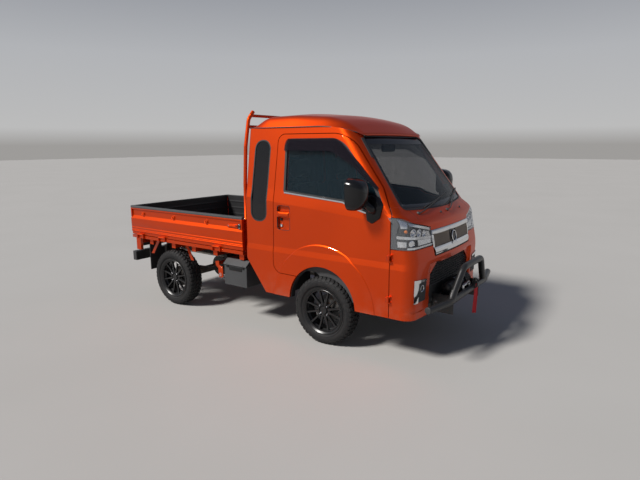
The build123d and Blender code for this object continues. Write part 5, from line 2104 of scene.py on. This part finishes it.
def upholstered(name, solid, cap, sewn, node=None):
    """Padded piece for each seat: the swollen form with its channels pressed in.

    It is made once, for the right, and moved across for the left, which stands for the node.
    """
    mesh, places = swollen(name, solid, cap)
    normals = facing(mesh, places)
    local = places / MM - (FRONT_AXLE, 0, 0)
    pressed = places - normals * sewn(local, normals)[:, None] * MM
    for side, side_name in SIDES:
        copy = mesh.copy()
        there = pressed + (0, (side + 1) * SEAT_Y * MM, 0)
        copy.vertices.foreach_set("co", there.ravel())
        copy.update()
        padded = dressed(f"{name}_{side_name}", copy, CLOTH, "root", 60, (node,) if node and side > 0 else ())
        soft = padded.modifiers.new("soft", "SUBSURF")
        soft.levels = soft.render_levels = 1


def pad(outline, half, edge):
    """Starting form of a pad for the driver's seat: an outline along the truck, half as wide as given."""
    return plate(rounded(outline, edge), *about(-SEAT_Y, half), "xz", edge)


def seat_channels(size, place, middle, seams, swell, bolster):
    """Depth of a seat's channels: one each side of its middle panel and some across it.

    Size is how far from the seat's middle a point is, place is where it is along the seat, and the
    bolsters outside the panel, up to the half width bolster, swell instead.
    """
    lengthwise = channel(abs(size - middle), 7)
    crosswise = sum(channel(abs(place - seam), 5) for seam in seams) * (size < middle + 2)
    return lengthwise + crosswise - swell * np.clip((size - middle - 12) / 50, 0, 1) * (size < bolster)


def turned(normals, axis):
    """How far each point faces along an axis, 1 where it clearly does and 0 on the far side."""
    return np.clip(normals[:, axis] * 1.6, 0, 1)


def cushion_seams(local, normals):
    """Channels of a seat cushion, on its top only."""
    return seat_channels(abs(local[:, 1] + SEAT_Y), local[:, 0], 128, (-20, -180), 9, 214) * turned(normals, 2)


def back_seams(local, normals):
    """Channels of a seat back, on its front only."""
    return seat_channels(abs(local[:, 1] + SEAT_Y), local[:, 2], 118, (880, 1040, 1200), 12, 200) * turned(normals, 0)


def rest_seams(local, normals):
    """Channel round the face of a headrest, an oval."""
    away = np.hypot((local[:, 1] + SEAT_Y) / 1.25, local[:, 2] - 1446)
    return channel(abs(away - 72), 4) * turned(normals, 0)


upholstered("seat_cushion", pad([(-338, 716), (118, 716), (128, 784), (92, 798), (-338, 778)], 222, 24),
            22, cushion_seams, "seat_cushions")
upholstered("seat_back", pad([(-358, 760), (-446, 748), (-534, 1322), (-448, 1338)], 205, 26),
            22, back_seams, "seat_backs")
upholstered("headrest", pad([(-474, 1362), (-524, 1362), (-550, 1520), (-486, 1528)], 120, 20), 12, rest_seams)


def seat_iron(side):
    """Posts of a seat's headrest, its runners and its side cover."""
    y = side * SEAT_Y
    posts = [tube([(-492, y + d, 1320), (-502, y + d, 1400)], 6.5, 10) for d in (-70, 70)]
    runners = [brick((-330, 100), about(y + d, 14), (672, 716), 5) for d in (-170, 170)]
    outline = rounded([(-470, 700), (-290, 700), (-270, 790), (-400, 840), (-470, 820)], 24, 4)
    return joined(*posts, *runners, plate(outline, y - side * 232, y - side * 222, edge=3))


made("seat_irons", both(seat_iron), STEEL)


# Steering wheel about its tilted axis

WHEEL_CENTRE = np.array([230, -340, 985])
WHEEL_R = 178
TILT = radians(37)
WHEEL_UP = np.array([-sin(TILT), 0, cos(TILT)])
WHEEL_OVER = np.cross(WHEEL_UP, Y)


def on_wheel(right, over, out):
    """Places on the steering wheel: steps across, up its face and out towards the driver."""
    right, over, out = (np.asarray(step, float)[..., None] for step in (right, over, out))
    return WHEEL_CENTRE + right * (0, 1.0, 0) + over * WHEEL_OVER + out * WHEEL_UP


def wheel_grip():
    """Grip ring: an oval section turned about the wheel's axis, thicker at the ten-to-two places by a slow wave."""
    turn = np.linspace(0, 2 * pi, 96, endpoint=False)
    wave = sum(np.clip(np.cos(2 * (turn + lead)), 0, 1) for lead in (-pi / 4, pi / 4))
    thick = (13 + 1.6 * wave)[:, None]
    round_ = np.arange(14) * 2 * pi / 14
    radius = WHEEL_R + thick * np.cos(round_)
    turn = turn[:, None]
    points = on_wheel(radius * np.cos(turn), radius * np.sin(turn), thick * np.sin(round_) * 1.05)
    return points.reshape(-1, 3), [quads(96, 14, True, True)]


def wheel_spokes():
    """Three spokes that widen towards the boss, and the boss with its soft pad."""
    r = np.array([30, 70, 120, 160, WHEEL_R - 3])
    oval = np.array([circle(1) * (width, 6.5) for width in (30, 22, 15, 13, 15)])
    arms = [swept(on_wheel(right * r, over * r, -2 + 6 * (1 - r / WHEEL_R)), oval, WHEEL_UP)
            for right, over in ((1, 0.12), (-1, 0.12), (0, -1))]
    boss = lathe([(-25, 0), (-25, 42), (0, 52), (14, 58), (24, 50), (29, 30), (30, 0)], WHEEL_CENTRE, WHEEL_UP, 40)
    return joined(boss, *arms)


made("steering_grip", wheel_grip(), CABIN, rides_with("steering_wheel"), 60, ("steering_wheel",))
made("steering_spokes", wheel_spokes(), TRIM, rides_with("steering_wheel"), 50)
made("column_shroud", joined(
    lathe([(-34, 0), (-34, 46), (-60, 52), (-160, 46), (-190, 34), (-190, 0)], WHEEL_CENTRE, WHEEL_UP, 28),
    *(tube([on_wheel(d * 0.3, 0, -70), on_wheel(d, 0, -62) + (0, 0, 6)], 6, 10) for d in (-150, 150))), CABIN)


# Dashboard: binnacle, centre panel, vents, glove box lid and the shift lever


VENT_Y = (-640, 640)


def binnacle():
    """Hood over the dials: an arch by a cubic, carried along the truck, highest a little way in from the driver."""
    y = np.linspace(-1, 1, 25)
    rows = [(505, 30, 150), (500, 52, 152), (520, 62, 158), (600, 50, 160), (660, 18, 150)]
    x, rise, half = np.array(rows, float).T[..., None]
    top = point(x, half * y - SEAT_Y, 1075 + (x - 480) * 0.36 + rise * (1 - abs(y) ** 3))
    return shell(top, top - (0, 0, 16))


def dash_panels():
    """Glove box lid, centre panel, a tray's lip and the vents' housings, each laid on the dashboard's face."""
    lid = plate(oblong((130, 560), (905, 1010), 14, 4), 462, 470, "yz", 3)
    centre = plate(oblong((-110, 110), (800, 1060), 16, 4), 455, 475, "yz", 4)
    tray = tube([(468, 130, 1045), (464, 350, 1047), (468, 590, 1045)], 9, 8)
    vents = [plate(oblong(about(y, 46), (1012, 1052), 12, 4), 462, 474, "yz", 3) for y in VENT_Y]
    return joined(lid, centre, tray, *vents)


def dash_vents():
    """The plain screen, the slats of the vents and the dials' faces."""
    screen = plate(oblong((-92, 92), (960, 1048), 8, 4), 451, 456, "yz", 1.5)
    slats = [tube([(460, y - 40, z), (460, y + 40, z)], 2.4, 6) for y in VENT_Y for z in range(1020, 1050, 8)]
    dials = [lathe([(0, 0), (0, r), (-4, r + 2), (-7, r), (-4, r - 4), (-3, 0)], (508, y, 1084), X)
             for y, r in ((-390, 46), (-290, 38))]
    return joined(screen, *slats, *dials)


def pedal(y):
    """Pedal with its arm."""
    outline = rounded([(y - 28, 508), (y + 28, 508), (y + 24, 566), (y - 24, 566)], 8, 3)
    return joined(plate(outline, 566, 574, "yz"), tube(path([(578, y, 540), (640, y, 640), (650, y, 790)], 30), 6, 8))


def levers():
    """Shift lever on the centre panel, hand brake between the seats and the three pedals."""
    shift = tube(path([(462, 20, 920), (410, 20, 950), (392, 20, 985)], 16), 7, 10)
    knob = lathe([(-24, 0), (-22, 12), (-4, 17), (12, 15), (18, 8), (19, 0)], (390, 20, 990), (-0.3, 0, 1), 20)
    brake = tube(path([(-40, 0, 690), (-110, 0, 740), (-250, 0, 800)], 20), 11)
    grip = tube([(-180, 0, 770), (-270, 0, 808)], 15, 14)
    return joined(shift, knob, brake, grip, *(pedal(y) for y in (-250, -330, -420)))


made("dash_binnacle", binnacle(), TRIM, smooth=60)
made("dash_panels", dash_panels(), TRIM)
made("dash_vents", dash_vents(), BLACK)
made("cab_levers", levers(), TRIM)


# Engine, tank and exhaust


def engine():
    """Engine laid over under the seats: crankcase, sump with ribs, head, valve cover, gearbox bell and pulley."""
    case = brick((-250, 30), (-150, 150), (392, 508), 14)
    sump = rings([point(*oblong((-236 + d, 16 - d), (-130 + d / 2, 130 - d / 2), 20, 4).T, z)
                  for z, d in ((394, 0), (330, 14), (304, 34))])
    ribs = [brick(about(x, 3), (-146, 146), (312, 400), 1.5) for x in range(-216, 10, 28)]
    head = brick((-236, 20), (-110, 120), (506, 548), 10)
    cover = brick((-222, 6), (-84, 96), (546, 574), 12)
    bell = lathe([(-10, 0), (-10, 128), (-40, 126), (-90, 96), (-160, 82), (-172, 60), (-172, 0)],
                 (-246, 0, 432), X, 36)
    pulley = lathe([(0, 0), (0, 62), (6, 66), (10, 60), (16, 60), (20, 66), (26, 62), (27, 0)],
                   (30, 0, 400), X, 36)
    mounts = [brick((-130, -80), (side * 150, side * 196), (420, 470), 6) for side, _ in SIDES]
    ports = [tube(path([(x, -100, 530), (x, -170, 520), (x, -176, 440)], 24), 15) for x in (-200, -120, -40)]
    return joined(case, sump, head, cover, bell, pulley, *ribs, *mounts, *ports)


# The fuel tank's places across the truck and its heights, and half the width
# and the thickness of a strap round it
TANK_Y = (338, 640)
TANK_Z = (345, 555)
BAND_HALF = 15
BAND_THICK = 2.0


def tank_strap(x):
    """Flat strap round the fuel tank."""
    loop = oblong(*((low - BAND_THICK, high + BAND_THICK) for low, high in (TANK_Y, TANK_Z)), 20)
    outer = loop - inward(loop) * BAND_THICK
    return looped([point(x + half, *line.T) for half, line in (
        (-BAND_HALF, loop), (BAND_HALF, loop), (BAND_HALF, outer), (-BAND_HALF, outer))])


def tank_straps():
    """Straps round the fuel tank, its filler neck and drain plug."""
    neck = tube(path([(-1190, 640, 500), (-1190, 676, 520), (-1190, 690, 640)], 20), 17, 14)
    plug = lathe([(0, 0), (0, 16), (-6, 14), (-9, 8), (-9, 0)], (-1190, 480, TANK_Z[0]), Z, 18)
    return joined(*(tank_strap(x) for x in (-1290, -1090)), neck, plug)


MUFFLER = (-150, 440)


def exhaust_fittings():
    """Seams and heads of the muffler, its hangers, a flange and the flared tip."""
    rims = [lathe([(-4, 68), (-4, 75), (4, 75), (4, 68)], (x, *MUFFLER), X, 36, ring=True)
            for x in (-1497, -1420, -1230, -1153)]
    hangers = [tube(path([(x, -150, 514), (x, -180, 540), (x, -230, 552)], 14), 6, 8) for x in (-1450, -1200)]
    flange = plate(oblong(about(MUFFLER[0], 36), about(MUFFLER[1], 22), 12, 4), -660, -648, "yz")
    tip = lathe([(0, 20.5), (-6, 23), (-14, 25), (-16, 24), (-14, 22), (0, 19)], (-2430, *MUFFLER), X, ring=True)
    return joined(*rims, *hangers, flange, tip)


made("engine", engine(), IRON, rides_with("engine_block"), 34, ("engine_block",))
made("tank_straps", tank_straps(), STEEL)
made("exhaust_fittings", exhaust_fittings(), EXHAUST)


# Stage


# The photograph's camera: yaw, pitch and roll in degrees, its place in metres,
# its focal length in pixels of a picture as wide as given, and the film's width
CAMERA_TURN = (125.10, -10.75, -0.16)
CAMERA_PLACE = (3.0494, -4.0028, 1.6510)
FOCAL_PIXELS, PICTURE_WIDTH = 500.65, 640
FILM_WIDTH = 36.0


def camera():
    """Camera at the photograph's viewpoint."""
    yaw, pitch, roll = (radians(angle) for angle in CAMERA_TURN)
    ahead = Vector((cos(yaw) * cos(pitch), sin(yaw) * cos(pitch), sin(pitch)))
    level = ahead.cross(Z).normalized()
    over = level.cross(ahead)
    right, up = level * cos(roll) + over * sin(roll), over * cos(roll) - level * sin(roll)
    data = bpy.data.cameras.new("camera")
    data.sensor_width, data.lens = FILM_WIDTH, FOCAL_PIXELS * FILM_WIDTH / PICTURE_WIDTH
    eye = placed("camera", data)
    eye.matrix_world = Matrix((right, up, -ahead)).transposed().to_4x4()
    eye.location = CAMERA_PLACE
    bpy.context.scene.camera = eye


FLOOR_HALF = 60


def floor():
    """Plain pale floor."""
    mesh = bpy.data.meshes.new("floor")
    corners = [(x * FLOOR_HALF, y * FLOOR_HALF, 0) for x, y in ((-1, -1), (1, -1), (1, 1), (-1, 1))]
    mesh.from_pydata(corners, [], [(0, 1, 2, 3)])
    f = Finish("floor_finish", "", Roughness=0.85, Specular_IOR_Level=0.15)
    f.feed("Base Color", f.mixed(f.noise(0.6), (0.365, 0.358, 0.345), (0.40, 0.392, 0.38)))
    mesh.materials.append(f.material)
    placed("floor", mesh)


def sun(toward, spread, strength, colour):
    """Soft far lamp in a direction, its spread in degrees."""
    data = bpy.data.lights.new("sun", "SUN")
    data.angle, data.energy, data.color = radians(spread), strength, colour
    lamp = placed("sun", data)
    lamp.rotation_mode = "QUATERNION"
    lamp.rotation_quaternion = Vector(toward).to_track_quat("Z", "Y")


# Colours of the surroundings by the sine of their height
SKY = ((0.0, (0.34, 0.33, 0.32)), (0.03, (0.50, 0.50, 0.50)), (0.16, (0.44, 0.45, 0.47)),
       (0.42, (0.13, 0.15, 0.20)), (1.0, (0.06, 0.08, 0.14)))


def stopped(ramp, stops):
    """Gives a colour ramp its stops."""
    while len(ramp.elements) < len(stops):
        ramp.elements.new(0.5)
    for element, (place, colour) in zip(ramp.elements, stops):
        element.position, element.color = place, (*colour, 1)


def studio():
    """Surroundings, pale at the horizon and deeper overhead, and a soft sun where the photograph's stands."""
    world = bpy.data.worlds.new("studio")
    bpy.context.scene.world = world
    world.use_nodes = True
    tree = world.node_tree
    coords, split = tree.nodes.new("ShaderNodeTexCoord"), tree.nodes.new("ShaderNodeSeparateXYZ")
    ramp = tree.nodes.new("ShaderNodeValToRGB")
    stopped(ramp.color_ramp, SKY)
    tree.links.new(coords.outputs["Generated"], split.inputs[0])
    tree.links.new(split.outputs["Z"], ramp.inputs[0])
    tree.links.new(ramp.outputs[0], tree.nodes["Background"].inputs["Color"])
    sun((-0.34, -0.63, 0.70), 12, 4.8, (1.0, 0.97, 0.93))


camera()
floor()
studio()
bpy.context.scene.view_settings.view_transform = "Standard"
